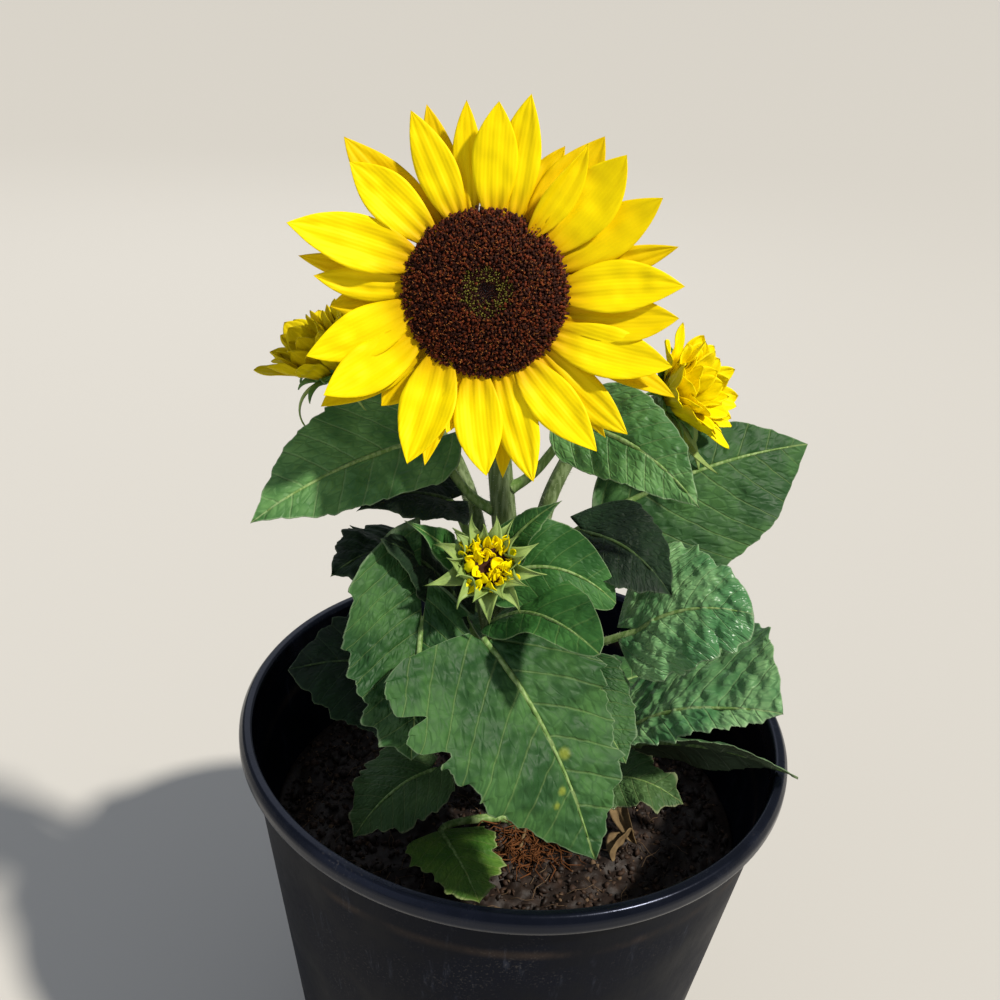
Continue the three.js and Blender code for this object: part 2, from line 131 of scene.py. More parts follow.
# How each leaf looks. Pucker is the height of its swellings in millimetres, quilt the share of it that
# stands between the side veins, blister the width of the finer ones, and rumple the height of slow hollows.
# Curl turns the margins down, droop the tip. Teeth is the share of full teeth, torn the height of ragged
# bites, and point how far the tip is drawn out. Spots are yellow marks at (along, across, size), bays are
# notches in the margin at (side, share of the length, share of the width, how wide), and grid is the number
# of points along and across.
# Tone picks the leaf's material: the paler and bluish ones hold painted light and sheen, the shaded one
# painted shade
LOOKS = {
    "upper_left": dict(pucker=0.8, tone="leaf_painted_sunlit", teeth=0.45, rumple=2.0, spots=[(4, -3, 2.2)]),
    "under_bloom": dict(teeth=0.5, tone="leaf_painted_shade"),
    "far_left": dict(pucker=1.7, tone="leaf_painted_shade", rumple=2.5, curl=0.8),
    "far_right": dict(pucker=0.9, teeth=0.3, rumple=2.6, grid=(84, 57), droop=4),
    "upper_right": dict(pucker=1.5, tone="leaf_painted_sunlit", blister=4.8, teeth=0.3, rumple=2.0, droop=3),
    "inner_right": dict(teeth=0.5, tone="leaf_painted_shade"),
    "low_left": dict(tone="leaf_painted_shade"),
    "inner_left": dict(teeth=0.6, tone="leaf_painted_shade"),
    "front": dict(pucker=1.4, blister=3.6, teeth=1.2, torn=0.7, rumple=4.4, grid=(110, 77), droop=5,
                  spots=[(52, -3, 1.8), (64, 4, 1.3), (68, 8, 1.0)],
                  bays=[(1, 0.29, 0.2, 0.022), (1, 0.38, -0.1, 0.03), (1, 0.45, 0.16, 0.02),
                        (1, 0.62, 0.12, 0.03), (0, 0.35, 0.1, 0.03), (0, 0.6, 0.12, 0.03)]),
    "front_left": dict(pucker=1.9, blister=4.6, teeth=1.5, torn=0.5, rumple=3.4, grid=(84, 57),
                       bays=[(0, 0.5, 0.15, 0.05), (1, 0.6, 0.12, 0.04)]),
    "mid_right": dict(point=0.1, pucker=1.8, quilt=0.5, blister=3.8, curl=1.0, teeth=0.8, rumple=2.8,
                      tone="leaf_painted_sheen", grid=(92, 65),
                      bays=[(0, 0.75, 0.12, 0.05), (1, 0.7, 0.15, 0.04), (1, 0.3, 0.1, 0.04)]),
    "low_right": dict(pucker=1.8, quilt=0.5, blister=4.0, teeth=0.8, rumple=2.5, tone="leaf_painted_sheen",
                      grid=(92, 65)),
    "rim_right": dict(teeth=0.6, curl=0.6),
    "foot_left": dict(pucker=0.8, tone="leaf_dull", torn=1.4),
    "foot_right": dict(pucker=1.0, tone="leaf_dull", torn=2.0),
    "soil_left": dict(pucker=0.8, tone="leaf_yellow", torn=2.6),
    **{name: dict(grid=(60, 41)) for name in LEAVES if name.startswith("back")},
    "bud_leaf_right": dict(point=0.12, pucker=0.5, teeth=0.1, rumple=1.4, tone="leaf_young"),
    "bud_leaf_front": dict(point=0.12, pucker=0.5, teeth=0.1, rumple=1.4, tone="leaf_young"),
    "bud_leaf_left": dict(pucker=0.3, teeth=0.2, rumple=0.8, tone="leaf_young"),
    "bud_leaf_back": dict(pucker=0.3, teeth=0.2, rumple=0.8, tone="leaf_young"),
}
LOOK_DEFAULTS = dict(point=0.45, pucker=0.9, quilt=1.0, blister=5.5, rumple=2.2, curl=0.0, droop=2.0,
                     teeth=0.9, torn=0.0, tone="leaf_green", grid=(70, 49), spots=(), bays=())


# Teeth of a leaf's margin: how far apart the large and the small ones stand
TOOTH_STEP = 8.0
SMALL_TOOTH_STEP = 3.1
# Side veins: how far apart they leave the midrib on a leaf of usual length, how far they lean to the tip,
# how much they bend on the way, and how much later those of the right half come, as a share of a step
VEIN_STEP = 11.0
VEIN_SLANT = 0.62
VEIN_BOW = 0.011
VEIN_SHIFT = 0.45
# The fine net between them: cells from one side vein to the next, and the width of a cell
NET_CELLS = 2.3
NET_WIDTH = 2.9
# Fine ribs of a petal: how far apart they run
RIB_STEP = 1.366
# Height of the line of dried dust on the pot's wall
DUST_LINE = 203


# Numbers and curves

def noise(x, y, seed):
    """Smooth noise from -1 to 1: the seeded values of a 64 by 64 lattice, eased between neighbours."""
    lattice = np.random.default_rng(seed).uniform(-1, 1, (64, 64))
    x, y = np.broadcast_arrays(np.asarray(x, float), np.asarray(y, float))
    i, j = np.floor(x).astype(int), np.floor(y).astype(int)
    a, b = x - i, y - j
    a, b = a * a * (3 - 2 * a), b * b * (3 - 2 * b)
    near = lattice[i % 64, j % 64] * (1 - a) + lattice[(i + 1) % 64, j % 64] * a
    far = lattice[i % 64, (j + 1) % 64] * (1 - a) + lattice[(i + 1) % 64, (j + 1) % 64] * a
    return near * (1 - b) + far * b


def unit(vectors):
    """Vectors of length one."""
    vectors = np.asarray(vectors, float)
    return vectors / np.linalg.norm(vectors, axis=-1, keepdims=True)


def walked_along(line):
    """How far each point of a line lies from its first one, measured along it."""
    return np.concatenate([[0], np.cumsum(np.linalg.norm(np.diff(line, axis=0), axis=1))])


def square_to(line):
    """Directions at each point of a line: along it, and two square to it and to each other."""
    tangent = unit(np.gradient(line, axis=0))
    flattest = np.argmin(np.abs(tangent).max(axis=0))
    side = unit(np.cross(tangent, np.eye(3)[flattest]))
    return tangent, side, np.cross(tangent, side)


def even_steps(line, count):
    """Points of a fine line at steps of equal length along it."""
    walked = walked_along(line)
    marks = np.linspace(0, walked[-1], count)
    return np.stack([np.interp(marks, walked, line[:, k]) for k in range(3)], axis=1)


def smooth_path(path, count):
    """Centripetal Catmull-Rom curve through the points, cut into steps of equal length."""
    p = np.asarray(path, float)
    last = len(p) - 2
    p = np.vstack([2 * p[0] - p[1], p, 2 * p[-1] - p[-2]])
    t = np.linspace(0, last + 1, 900)
    k = np.minimum(t.astype(int), last)
    w = (t - k)[:, None]
    a, b, c, d = (p[k + n] for n in range(4))
    d0, d1, d2 = (np.sqrt(np.linalg.norm(q - r, axis=1))[:, None] for q, r in ((a, b), (b, c), (c, d)))
    m1 = d1 * ((b - a) / d0 - (c - a) / (d0 + d1) + (c - b) / d1)
    m2 = d1 * ((c - b) / d1 - (d - b) / (d1 + d2) + (d - c) / d2)
    line = b + m1 * w + (3 * (c - b) - 2 * m1 - m2) * w ** 2 + (2 * (b - c) + m1 + m2) * w ** 3
    return even_steps(line, count)


def bezier(p0, p1, p2, p3, count):
    """Cubic Bezier curve cut into steps of equal length."""
    t = np.linspace(0, 1, 200)[:, None]
    line = (1 - t) ** 3 * p0 + 3 * t * (1 - t) ** 2 * p1 + 3 * t ** 2 * (1 - t) * p2 + t ** 3 * p3
    return even_steps(line, count)


# Shapes

def shape(points, faces, uv=None, paint=0, **marks):
    """A piece of surface: points in millimetres, arrays of faces, and a place and marks for each point."""
    points = np.asarray(points, float).reshape(-1, 3)
    count = len(points)
    uv = np.zeros((count, 2)) if uv is None else np.asarray(uv, float).reshape(-1, 2)
    marks = {name: np.broadcast_to(np.asarray(value, float).ravel(), count) for name, value in marks.items()}
    return dict(points=points, faces=[np.asarray(f, int) for f in faces], uv=uv, paint=paint, marks=marks)


def grid_faces(rows, cols, wrap=False):
    """Quads of a grid of points, row by row, with their front towards (across x along)."""
    i, j = np.meshgrid(np.arange(rows - 1), np.arange(cols if wrap else cols - 1), indexing="ij")
    a = (i * cols + j).ravel()
    b = (i * cols + (j + 1) % cols).ravel()
    return np.stack([a, b, b + cols, a + cols], axis=1)


def closed_sheet(top, under, uv, paint=0, **marks):
    """A thin solid: a top grid, an under grid the other way round, and a rim of quads between them."""
    rows, cols = top.shape[:2]
    n = rows * cols
    front = grid_faces(rows, cols)
    index = np.arange(n).reshape(rows, cols)
    edge = np.concatenate([index[0, :-1], index[:-1, -1], index[-1, :0:-1], index[:0:-1, 0]])
    following = np.roll(edge, -1)
    rim = np.stack([following, edge, edge + n, following + n], axis=1)
    marks = {name: np.concatenate([np.asarray(value, float).ravel()] * 2) for name, value in marks.items()}
    marks["under"] = np.repeat([0.0, 1.0], n)
    points = np.concatenate([top.reshape(-1, 3), under.reshape(-1, 3)])
    uv = np.concatenate([uv.reshape(-1, 2)] * 2)
    return shape(points, [front, front[:, ::-1] + n, rim], uv, paint, **marks)


def rings_along(line, radii, sides, paint=0, relief=None):
    """A limb: rings of the given radii square to the line, closed by a point at each end. Relief(length,
    angle) is added to the radius, and the place on the surface is (length, angle)."""
    line = np.asarray(line, float)
    radii = np.broadcast_to(radii, len(line)).astype(float)
    tangent, side, other = square_to(line)
    angle = (np.arange(sides) * 2 * np.pi / sides)[None, :]
    walked = walked_along(line)[:, None]
    r = radii[:, None] + (0 if relief is None else relief(walked, angle))
    r = np.broadcast_to(r, (len(line), sides))[..., None]
    outward = np.cos(angle)[..., None] * side[:, None] + np.sin(angle)[..., None] * other[:, None]
    ring = line[:, None] + r * outward
    n = ring.shape[0] * sides
    points = np.concatenate([ring.reshape(-1, 3), line[:1] - tangent[:1] * radii[0] * 0.3,
                             line[-1:] + tangent[-1:] * radii[-1] * 0.5])
    j = np.arange(sides)
    foot = np.stack([(j + 1) % sides, j, np.full(sides, n)], axis=1)
    head = np.stack([n - sides + j, n - sides + (j + 1) % sides, np.full(sides, n + 1)], axis=1)
    uv = np.stack(np.broadcast_arrays(walked, angle), axis=-1).reshape(-1, 2)
    uv = np.concatenate([uv, uv[:1], uv[-1:]])
    return shape(points, [grid_faces(len(line), sides, wrap=True), foot, head], uv, paint)


def turned(profile, sides, paint=0, relief=None):
    """A turned shape about +Z: a profile of (radius, height) points carried round a circle. Relief(angle,
    radius) is added to the radius, and the place on the surface is (length along the profile, angle)."""
    profile = np.asarray(profile, float)
    angle = (np.arange(sides) * 2 * np.pi / sides)[None, :]
    r = np.broadcast_to(profile[:, :1], (len(profile), sides))
    if relief is not None:
        r = r + relief(angle, r)
    z = np.broadcast_to(profile[:, 1:], r.shape)
    points = np.stack([r * np.cos(angle), r * np.sin(angle), z], axis=-1)
    uv = np.stack(np.broadcast_arrays(walked_along(profile)[:, None], angle), axis=-1)
    return shape(points, [grid_faces(len(profile), sides, wrap=True)], uv, paint)


def copies(model, places, axes, sizes, paint=0):
    """Many copies of one small shape: each has a place, three axes and one size or a size along each."""
    points, count = model["points"], len(places)
    sizes = np.broadcast_to(sizes, (count, 3))
    placed = places[:, None] + np.einsum("nk,mk,mkc->mnc", points, sizes, axes)
    starts = (np.arange(count) * len(points))[:, None, None]
    faces = [(f[None] + starts).reshape(-1, f.shape[1]) for f in model["faces"]]
    return shape(placed, faces, np.tile(model["uv"], (count, 1)), paint)


def moved(item, origin, axes):
    """The shape with its x, y and z carried to three axes at an origin."""
    return dict(item, points=np.asarray(origin, float) + item["points"] @ np.asarray(axes, float))


def build(name, items, materials, slot, *stands_for):
    """Puts the shapes into one mesh in metres, with its materials, body and the nodes it replaces. The slot
    is not used.
    """
    items = items if isinstance(items, list) else [items]
    starts = np.cumsum([0] + [len(s["points"]) for s in items])
    loops = np.concatenate([(f + start).ravel() for s, start in zip(items, starts) for f in s["faces"]])
    sizes = np.concatenate([np.full(len(f), f.shape[1]) for s in items for f in s["faces"]])
    paint = np.concatenate([np.full(len(f), s["paint"]) for s in items for f in s["faces"]])
    uv = np.concatenate([s["uv"] for s in items])
    mesh = bpy.data.meshes.new(name)
    mesh.vertices.add(starts[-1])
    mesh.vertices.foreach_set("co", (np.concatenate([s["points"] for s in items]) * MM).ravel())
    mesh.loops.add(len(loops))
    mesh.loops.foreach_set("vertex_index", loops)
    mesh.polygons.add(len(sizes))
    mesh.polygons.foreach_set("loop_start", np.cumsum(sizes) - sizes)
    mesh.update(calc_edges=True)
    mesh.polygons.foreach_set("material_index", paint)
    mesh.polygons.foreach_set("use_smooth", np.ones(len(sizes), bool))
    mesh.uv_layers.new(name="surface").data.foreach_set("uv", uv[loops].ravel())
    for mark in sorted({m for s in items for m in s["marks"]}):
        values = np.concatenate([s["marks"].get(mark, np.zeros(len(s["points"]))) for s in items])
        mesh.attributes.new(mark, "FLOAT", "POINT").data.foreach_set("value", values)
    mesh.validate()
    for material in materials:
        mesh.materials.append(material)
    piece = bpy.data.objects.new(name, mesh)
    bpy.context.scene.collection.objects.link(piece)
    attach(piece, "root")
    if stands_for:
        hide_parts(*stands_for)
    return piece


# Materials

def colour(code):
    """sRGB hex to linear red, green, blue and alpha."""
    s = np.array([int(code[k:k + 2], 16) for k in (1, 3, 5)]) / 255
    return (*np.where(s <= 0.04045, s / 12.92, ((s + 0.055) / 1.055) ** 2.4), 1.0)


def per(size):
    """Scale of a pattern whose patches are the given number of millimetres wide."""
    return 1 / (size * MM)


def add(tree, kind, *values, output=None, **settings):
    """Adds a node and returns one of its outputs: the named one, or else the first that is open. A kind in
    capitals is an operation of the Math node. The values go to the open inputs in order, and the settings
    to properties or, if they have a capital, to inputs by name. A hex value is turned to a colour, and
    another node's output is linked."""
    if kind.isupper():
        kind, settings = "Math", dict(operation=kind)
    node = tree.nodes.new("ShaderNode" + kind)
    for key, value in settings.items():
        if key[0].islower():
            setattr(node, key, value)
    pairs = list(zip([socket for socket in node.inputs if socket.enabled], values))
    pairs += [(node.inputs[key], value) for key, value in settings.items() if key[0].isupper()]
    for socket, value in pairs:
        if isinstance(value, bpy.types.NodeSocket):
            tree.links.new(value, socket)
        else:
            socket.default_value = colour(value) if isinstance(value, str) else value
    return node.outputs[output] if output else next(socket for socket in node.outputs if socket.enabled)


# Settings of a MapRange that eases from one value to another, and of a Mix of two colours
EASED = dict(interpolation_type="SMOOTHSTEP")
COLOURS = dict(data_type="RGBA")


def material(name, **constants):
    """A material with its principled shader; constants are the shader's own sockets."""
    made = bpy.data.materials.new(name)
    made.use_nodes = True
    shader = made.node_tree.nodes["Principled BSDF"]
    for key, value in constants.items():
        shader.inputs[key.replace("_", " ")].default_value = value
    return made, made.node_tree, shader


def join(tree, shader, **sockets):
    """Links outputs to the shader's sockets."""
    for key, value in sockets.items():
        tree.links.new(value, shader.inputs[key.replace("_", " ")])


def leaf_veins(tree, spot):
    """Where a leaf's side veins and midrib run, where its skin stands up in cushions, and the valleys round
    these, which are darkest as painted shade. A side vein runs wherever the phase is a whole number: the
    place along the midrib, less a slanting and bending share of the place across it, in steps of VEIN_STEP.
    The net between the veins has about two cells from one to the next, and the midrib narrows to the tip."""
    surface = add(tree, "TexCoord", output="UV")
    along = add(tree, "SeparateXYZ", surface, output="X")
    across = add(tree, "SeparateXYZ", surface, output="Y")
    away = add(tree, "ABSOLUTE", across)
    right = add(tree, "GREATER_THAN", across, 0.0)
    reach = add(tree, "Attribute", attribute_name="reach", output="Fac")
    wander = add(tree, "TexNoise", Vector=spot, Scale=per(11.1), Detail=2.0)
    bow = add(tree, "MULTIPLY_ADD", away, -VEIN_BOW, -VEIN_SLANT)
    slant = add(tree, "MULTIPLY_ADD", away, bow, along)
    phase = add(tree, "MULTIPLY", slant, 1 / VEIN_STEP)
    phase = add(tree, "MULTIPLY_ADD", right, VEIN_SHIFT, phase)
    phase = add(tree, "MULTIPLY_ADD", wander, 0.16, phase)
    off = add(tree, "FRACT", phase)
    off = add(tree, "SUBTRACT", off, 0.5)
    off = add(tree, "ABSOLUTE", off)
    side_vein = add(tree, "MapRange", off, 0.44, 0.49, **EASED)
    fade = add(tree, "MapRange", reach, 0.75, 1.0, 1.0, 0.3, **EASED)
    side_vein = add(tree, "MULTIPLY", side_vein, fade)
    rib_width = add(tree, "MapRange", reach, 0.0, 1.0, 1.0, 0.3)
    rib = add(tree, "DIVIDE", away, rib_width)
    rib = add(tree, "MapRange", rib, 0.6, 1.3, 1.0, 0.0, **EASED)

    rung = add(tree, "MULTIPLY", away, 1 / NET_WIDTH)
    ladder = add(tree, "MULTIPLY", phase, NET_CELLS)
    ladder = add(tree, "CombineXYZ", ladder, rung, right)
    net = add(tree, "TexVoronoi", Vector=ladder, Scale=1.0, Randomness=0.85, feature="DISTANCE_TO_EDGE")
    cushion = add(tree, "MapRange", net, 0.0, 0.3, **EASED)
    # Painted shade: the valleys of the net, darkened towards the deep green in the material
    painted_net_shade = add(tree, "MapRange", net, 0.0, 0.1, 0.45, 0.0, **EASED)
    return side_vein, rib, cushion, painted_net_shade


def leaf_material(name, deep, lit, vein, pale, gloss, relief=0.6):
    """Living sunflower leaf, grown: a waxy skin over a net of veins, rough with short stiff hairs.
    The eye gets a mottled green, pale sunken veins in pairs, a fine net between them with painted shade in
    its valleys, a pale thin margin and a dull underside."""
    made, tree, shader = material(name, Roughness=gloss, IOR=1.42, Specular_IOR_Level=0.36)
    spot = add(tree, "TexCoord", output="Object")
    side_vein, rib, cushion, painted_net_shade = leaf_veins(tree, spot)
    under = add(tree, "Attribute", attribute_name="under", output="Fac")
    mottle = add(tree, "TexNoise", Vector=spot, Scale=per(22.2), Detail=4.0, Roughness=0.6)
    patches = add(tree, "MapRange", mottle, 0.35, 0.68, **EASED)
    green = add(tree, "Mix", patches, deep, lit, **COLOURS)
    # Painted shade in the valleys of the net
    green = add(tree, "Mix", painted_net_shade, green, deep, **COLOURS)
    share = add(tree, "MULTIPLY", side_vein, 0.22)
    green = add(tree, "Mix", share, green, vein, **COLOURS)
    share = add(tree, "MULTIPLY", rib, 0.62)
    green = add(tree, "Mix", share, green, vein, **COLOURS)
    share = add(tree, "Attribute", attribute_name="spot", output="Fac")
    share = add(tree, "MULTIPLY", share, 0.5)
    green = add(tree, "Mix", share, green, "#A8B03A", **COLOURS)
    edge = add(tree, "Attribute", attribute_name="edge", output="Fac")
    share = add(tree, "MapRange", edge, 0.1, 0.5, 0.38, 0.0, **EASED)
    green = add(tree, "Mix", share, green, pale, **COLOURS)
    share = add(tree, "MULTIPLY", side_vein, 0.5)
    dull = add(tree, "Mix", share, "#5B6B4C", "#8B9676", **COLOURS)
    join(tree, shader, Base_Color=add(tree, "Mix", under, green, dull, **COLOURS))

    rough = add(tree, "MapRange", mottle, 0.3, 0.7, gloss - 0.07, gloss + 0.1, **EASED)
    join(tree, shader, Roughness=add(tree, "MULTIPLY_ADD", under, 0.2, rough))

    # Hairs are finer than the picture shows, so their grain is drawn at 1.43 mm
    grain = add(tree, "TexNoise", Vector=spot, Scale=per(1.43), Detail=2.0)
    height = add(tree, "MULTIPLY_ADD", grain, 0.25, cushion)
    height = add(tree, "MULTIPLY_ADD", side_vein, -0.9, height)
    height = add(tree, "MULTIPLY_ADD", rib, -0.6, height)
    join(tree, shader, Normal=add(tree, "Bump", Strength=relief, Distance=0.55 * MM, Height=height))
    return made


def stalk_material(name, green, pale):
    """Living stem, grown: fluted, pale green and felted with short white bristles.
    The eye gets a soft green with fine lengthwise streaks, paler on the ridges. The felt is finer than the
    picture shows, so its streaks are drawn 1.54 mm wide and about twelve times as long."""
    made, tree, shader = material(name, Roughness=0.55, IOR=1.4, Specular_IOR_Level=0.35)
    spot = add(tree, "TexCoord", output="Object")
    drawn = add(tree, "Mapping", Vector=spot, Scale=(1.0, 1.0, 0.08))
    streak = add(tree, "TexNoise", Vector=drawn, Scale=per(1.54), Detail=3.0)
    share = add(tree, "MapRange", streak, 0.38, 0.66, **EASED)
    tone = add(tree, "Mix", share, green, pale, **COLOURS)
    mottle = add(tree, "TexNoise", Vector=spot, Scale=per(16.7), Detail=3.0)
    share = add(tree, "MapRange", mottle, 0.45, 0.8, 0.0, 0.4, **EASED)
    join(tree, shader, Base_Color=add(tree, "Mix", share, tone, "#5E7A3C", **COLOURS))
    join(tree, shader, Normal=add(tree, "Bump", Strength=0.4, Distance=0.3 * MM, Height=streak))
    return made


def petal_material(name, bright, shade, deep):
    """Living ray petal, grown: a thin satin blade with lengthwise ribs.
    The eye gets clear yellow that turns to ochre at the claw, partly its own tint and partly painted shade,
    with fine darker lines 1.4 mm apart. The tone mark darkens whole petals to ochre, as painted shade on
    hinder and shaded petals."""
    made, tree, shader = material(name, Roughness=0.55, IOR=1.4, Specular_IOR_Level=0.12)
    spot = add(tree, "TexCoord", output="Object")
    surface = add(tree, "TexCoord", output="UV")
    ribs = add(tree, "SeparateXYZ", surface, output="Y")
    ribs = add(tree, "MULTIPLY", ribs, 2 * np.pi / RIB_STEP)
    ribs = add(tree, "COSINE", ribs)
    mottle = add(tree, "TexNoise", Vector=spot, Scale=per(14.3), Detail=3.0)
    share = add(tree, "MapRange", mottle, 0.4, 0.75, 0.0, 0.25, **EASED)
    yellow = add(tree, "Mix", share, bright, shade, **COLOURS)
    share = add(tree, "MapRange", ribs, -1.0, -0.2, 0.09, 0.0, **EASED)
    yellow = add(tree, "Mix", share, yellow, shade, **COLOURS)
    # Ochre at the claw: the petal's own tint, deepened there as painted shade
    reach = add(tree, "Attribute", attribute_name="reach", output="Fac")
    share = add(tree, "MapRange", reach, 0.0, 0.42, 0.9, 0.0, **EASED)
    yellow = add(tree, "Mix", share, yellow, deep, **COLOURS)
    # Tone: painted shade on the hinder rows and the shaded head, a random tint on other petals
    tone = add(tree, "Attribute", attribute_name="tone", output="Fac")
    join(tree, shader, Base_Color=add(tree, "Mix", tone, yellow, deep, **COLOURS))
    join(tree, shader, Normal=add(tree, "Bump", Strength=0.12, Distance=0.2 * MM, Height=ribs))
    return made


def mottled_material(name, main, other, share, size, rough, depth=0.3, level=0.3):
    """A living or earthy stuff: its main colour, with up to the given share of the other in patches of a
    size in millimetres that stand up by the depth. The eye gets small changes of tone and a fine grain."""
    made, tree, shader = material(name, Roughness=rough, Specular_IOR_Level=level)
    spot = add(tree, "TexCoord", output="Object")
    mottle = add(tree, "TexNoise", Vector=spot, Scale=per(size), Detail=3.0)
    patches = add(tree, "MapRange", mottle, 0.35, 0.7, 0.0, share, **EASED)
    join(tree, shader, Base_Color=add(tree, "Mix", patches, main, other, **COLOURS))
    join(tree, shader, Normal=add(tree, "Bump", Strength=0.5, Distance=depth * MM, Height=mottle))
    return made


def pot_material(name, level, rough):
    """Polypropylene with carbon black, injection moulded: satin on the rim and matt on the wall.
    The eye gets near black, tinted blue as a painted reflection of the sky, with soft highlights, faint
    upright scuffs in cloudy areas, a brown line of dried dust below the rim and a film of pale specks."""
    made, tree, shader = material(name, IOR=1.49, Specular_IOR_Level=level, Specular_Tint=colour("#D4DEFF"))
    spot = add(tree, "TexCoord", output="Object")
    cloud = add(tree, "TexNoise", Vector=spot, Scale=per(45.5), Detail=6.0, Roughness=0.65)
    share = add(tree, "MapRange", cloud, 0.35, 0.7, **EASED)
    # The blue in both blacks is a painted reflection of the pale sky; their change in cloudy areas is real
    black = add(tree, "Mix", share, "#05070E", "#0A0E19", **COLOURS)

    # Scratches are thinner than the picture shows, so they are drawn up to 3.85 mm wide
    drawn = add(tree, "Mapping", Vector=spot, Scale=(1.0, 1.0, 0.06))
    streak = add(tree, "TexNoise", Vector=drawn, Scale=per(3.85), Detail=4.0, Roughness=0.7)
    scuff = add(tree, "MapRange", streak, 0.55, 0.76, 0.0, 0.6, **EASED)
    share = add(tree, "MapRange", cloud, 0.45, 0.7, **EASED)
    scuff = add(tree, "MULTIPLY", scuff, share)
    black = add(tree, "Mix", scuff, black, "#434855", **COLOURS)

    band = add(tree, "SeparateXYZ", spot, output="Z")
    band = add(tree, "SUBTRACT", band, DUST_LINE * MM)
    band = add(tree, "ABSOLUTE", band)
    line = add(tree, "MapRange", band, 0.0, 4 * MM, 0.28, 0.0, **EASED)
    share = add(tree, "MapRange", cloud, 0.4, 0.62, **EASED)
    line = add(tree, "MULTIPLY", line, share)
    black = add(tree, "Mix", line, black, "#5A4A3A", **COLOURS)

    # Dust is finer than the picture shows, so its specks are drawn at 1.11 mm
    speck = add(tree, "TexNoise", Vector=spot, Scale=per(1.11), Detail=2.0)
    dust = add(tree, "MapRange", speck, 0.56, 0.72, **EASED)
    share = add(tree, "MapRange", cloud, 0.48, 0.7, 0.0, 0.14, **EASED)
    dust = add(tree, "MULTIPLY", dust, share)
    join(tree, shader, Base_Color=add(tree, "Mix", dust, black, "#8B857C", **COLOURS))

    join(tree, shader, Roughness=add(tree, "MapRange", cloud, 0.3, 0.7, rough - 0.08, rough + 0.08, **EASED))
    join(tree, shader, Normal=add(tree, "Bump", Strength=0.25, Distance=0.3 * MM, Height=streak))
    return made


# Leaves: the usual green; paler copies as painted sunlight, and bluish ones as painted sunlight and sheen,
# where the sun strikes them flat; smooth when young; nearly black as painted shade where the others shade
# them; and dull or yellowing when old
LEAF_TONES = {
    "leaf_green": leaf_material("leaf_grown_green", "#244A22", "#446E36", "#869C5C", "#93A884", 0.6),
    "leaf_painted_sunlit": leaf_material("leaf_grown_painted_sunlit", "#3E6B36", "#6A9856", "#98B078", "#A5B894", 0.52),
    "leaf_painted_sheen": leaf_material("leaf_grown_painted_sheen", "#497C4C", "#7EAA70", "#9CB47C", "#A5B894", 0.34),
    "leaf_young": leaf_material("leaf_grown_young", "#265522", "#417534", "#7E9A56", "#9DB484", 0.56, 0.35),
    "leaf_painted_shade": leaf_material("leaf_grown_painted_shade", "#0C1F10", "#163018", "#33492A", "#465A3E", 0.68),
    "leaf_dull": leaf_material("leaf_old_dull", "#3A5A2E", "#52703E", "#8A9460", "#A5A380", 0.6),
    "leaf_yellow": leaf_material("leaf_old_yellowing", "#3F6A24", "#6A8C34", "#9CA860", "#B0B480", 0.55),
}
# Leaf stalks and midribs are a lighter green than the woodier stems; those of shaded leaves are darkened as
# painted shade
STALK = stalk_material("stalk_grown", "#688A44", "#96B070")
STEM = stalk_material("stem_grown", "#54673A", "#7F9066")
PAINTED_SHADE_RIB = stalk_material("midrib_grown_painted_shade", "#2C3E20", "#465C36")
# Petals: flat and clean on the main bloom, crumpled and more lemon on the younger heads
PETAL = petal_material("petal_grown", "#FFE600", "#F4CC00", "#BC8400")
SIDE_PETAL = petal_material("petal_grown_crumpled", "#FFEC00", "#F8D800", "#A88C10")
# Bracts are matt and softly hairy, and those of the bud are thinner and more yellow
BRACT = mottled_material("bract_grown", "#4E7A34", "#6F9450", 0.5, 3.33, 0.55)
BUD_BRACT = mottled_material("bud_bract_grown", "#94AC5E", "#6A8648", 0.6, 3.85, 0.5)
# Stiff hairs are dry and near white
HAIR = mottled_material("bristle_grown", "#C9D4B4", "#A8B890", 0.2, 1.111, 0.6)
# Disc florets: velvety maroon tubes, redder lobes, amber stigmas with pollen, and in the middle closed
# buds, which are olive in a ring and then near black with a waxy shine. Their velvet and pollen are finer
# than the picture shows, so the grain is drawn at 1.1 mm
FLORET = mottled_material("floret_maroon", "#32140B", "#4A2210", 0.5, 1.111, 0.75, level=0.2)
FLORET_RIM = mottled_material("floret_lobes", "#64280F", "#8A3F17", 0.5, 1.111, 0.7, level=0.2)
POLLEN = mottled_material("stigma_amber", "#9A5622", "#CC9450", 0.5, 1.111, 0.7, level=0.2)
FLORET_GREEN = mottled_material("floret_closed_green", "#7C7628", "#34380F", 0.5, 1.111, 0.6)
FLORET_DARK = mottled_material("floret_closed_dark", "#0D0E12", "#262C3A", 0.4, 1.111, 0.36, level=0.5)
# Potting mix: wet dark humus, crumbs of bark, dry pale fibres and orange coir
SOIL_DARK = mottled_material("potting_mix_wet", "#1D130D", "#32231A", 0.6, 3.85, 0.62, 1.2, 0.4)
SOIL_BROWN = mottled_material("potting_mix_bark", "#35241A", "#54402F", 0.5, 3.33, 0.7, 0.6, 0.35)
SOIL_PALE = mottled_material("potting_mix_fibre", "#735E48", "#503E2E", 0.5, 2.5, 0.9, level=0.2)
CROWN_FIBRE = mottled_material("potting_mix_coir", "#714627", "#402717", 0.6, 3.33, 0.9, 0.4, 0.15)
# Dead leaves and a dead stalk, dry and blotched
WITHERED = mottled_material("leaf_withered", "#857050", "#54432E", 0.7, 5.0, 0.9, 0.5, 0.15)
POT_RIM = pot_material("pot_rim_polypropylene_moulded", 0.34, 0.27)
POT_WALL = pot_material("pot_wall_polypropylene_moulded", 0.06, 0.5)


# Stems

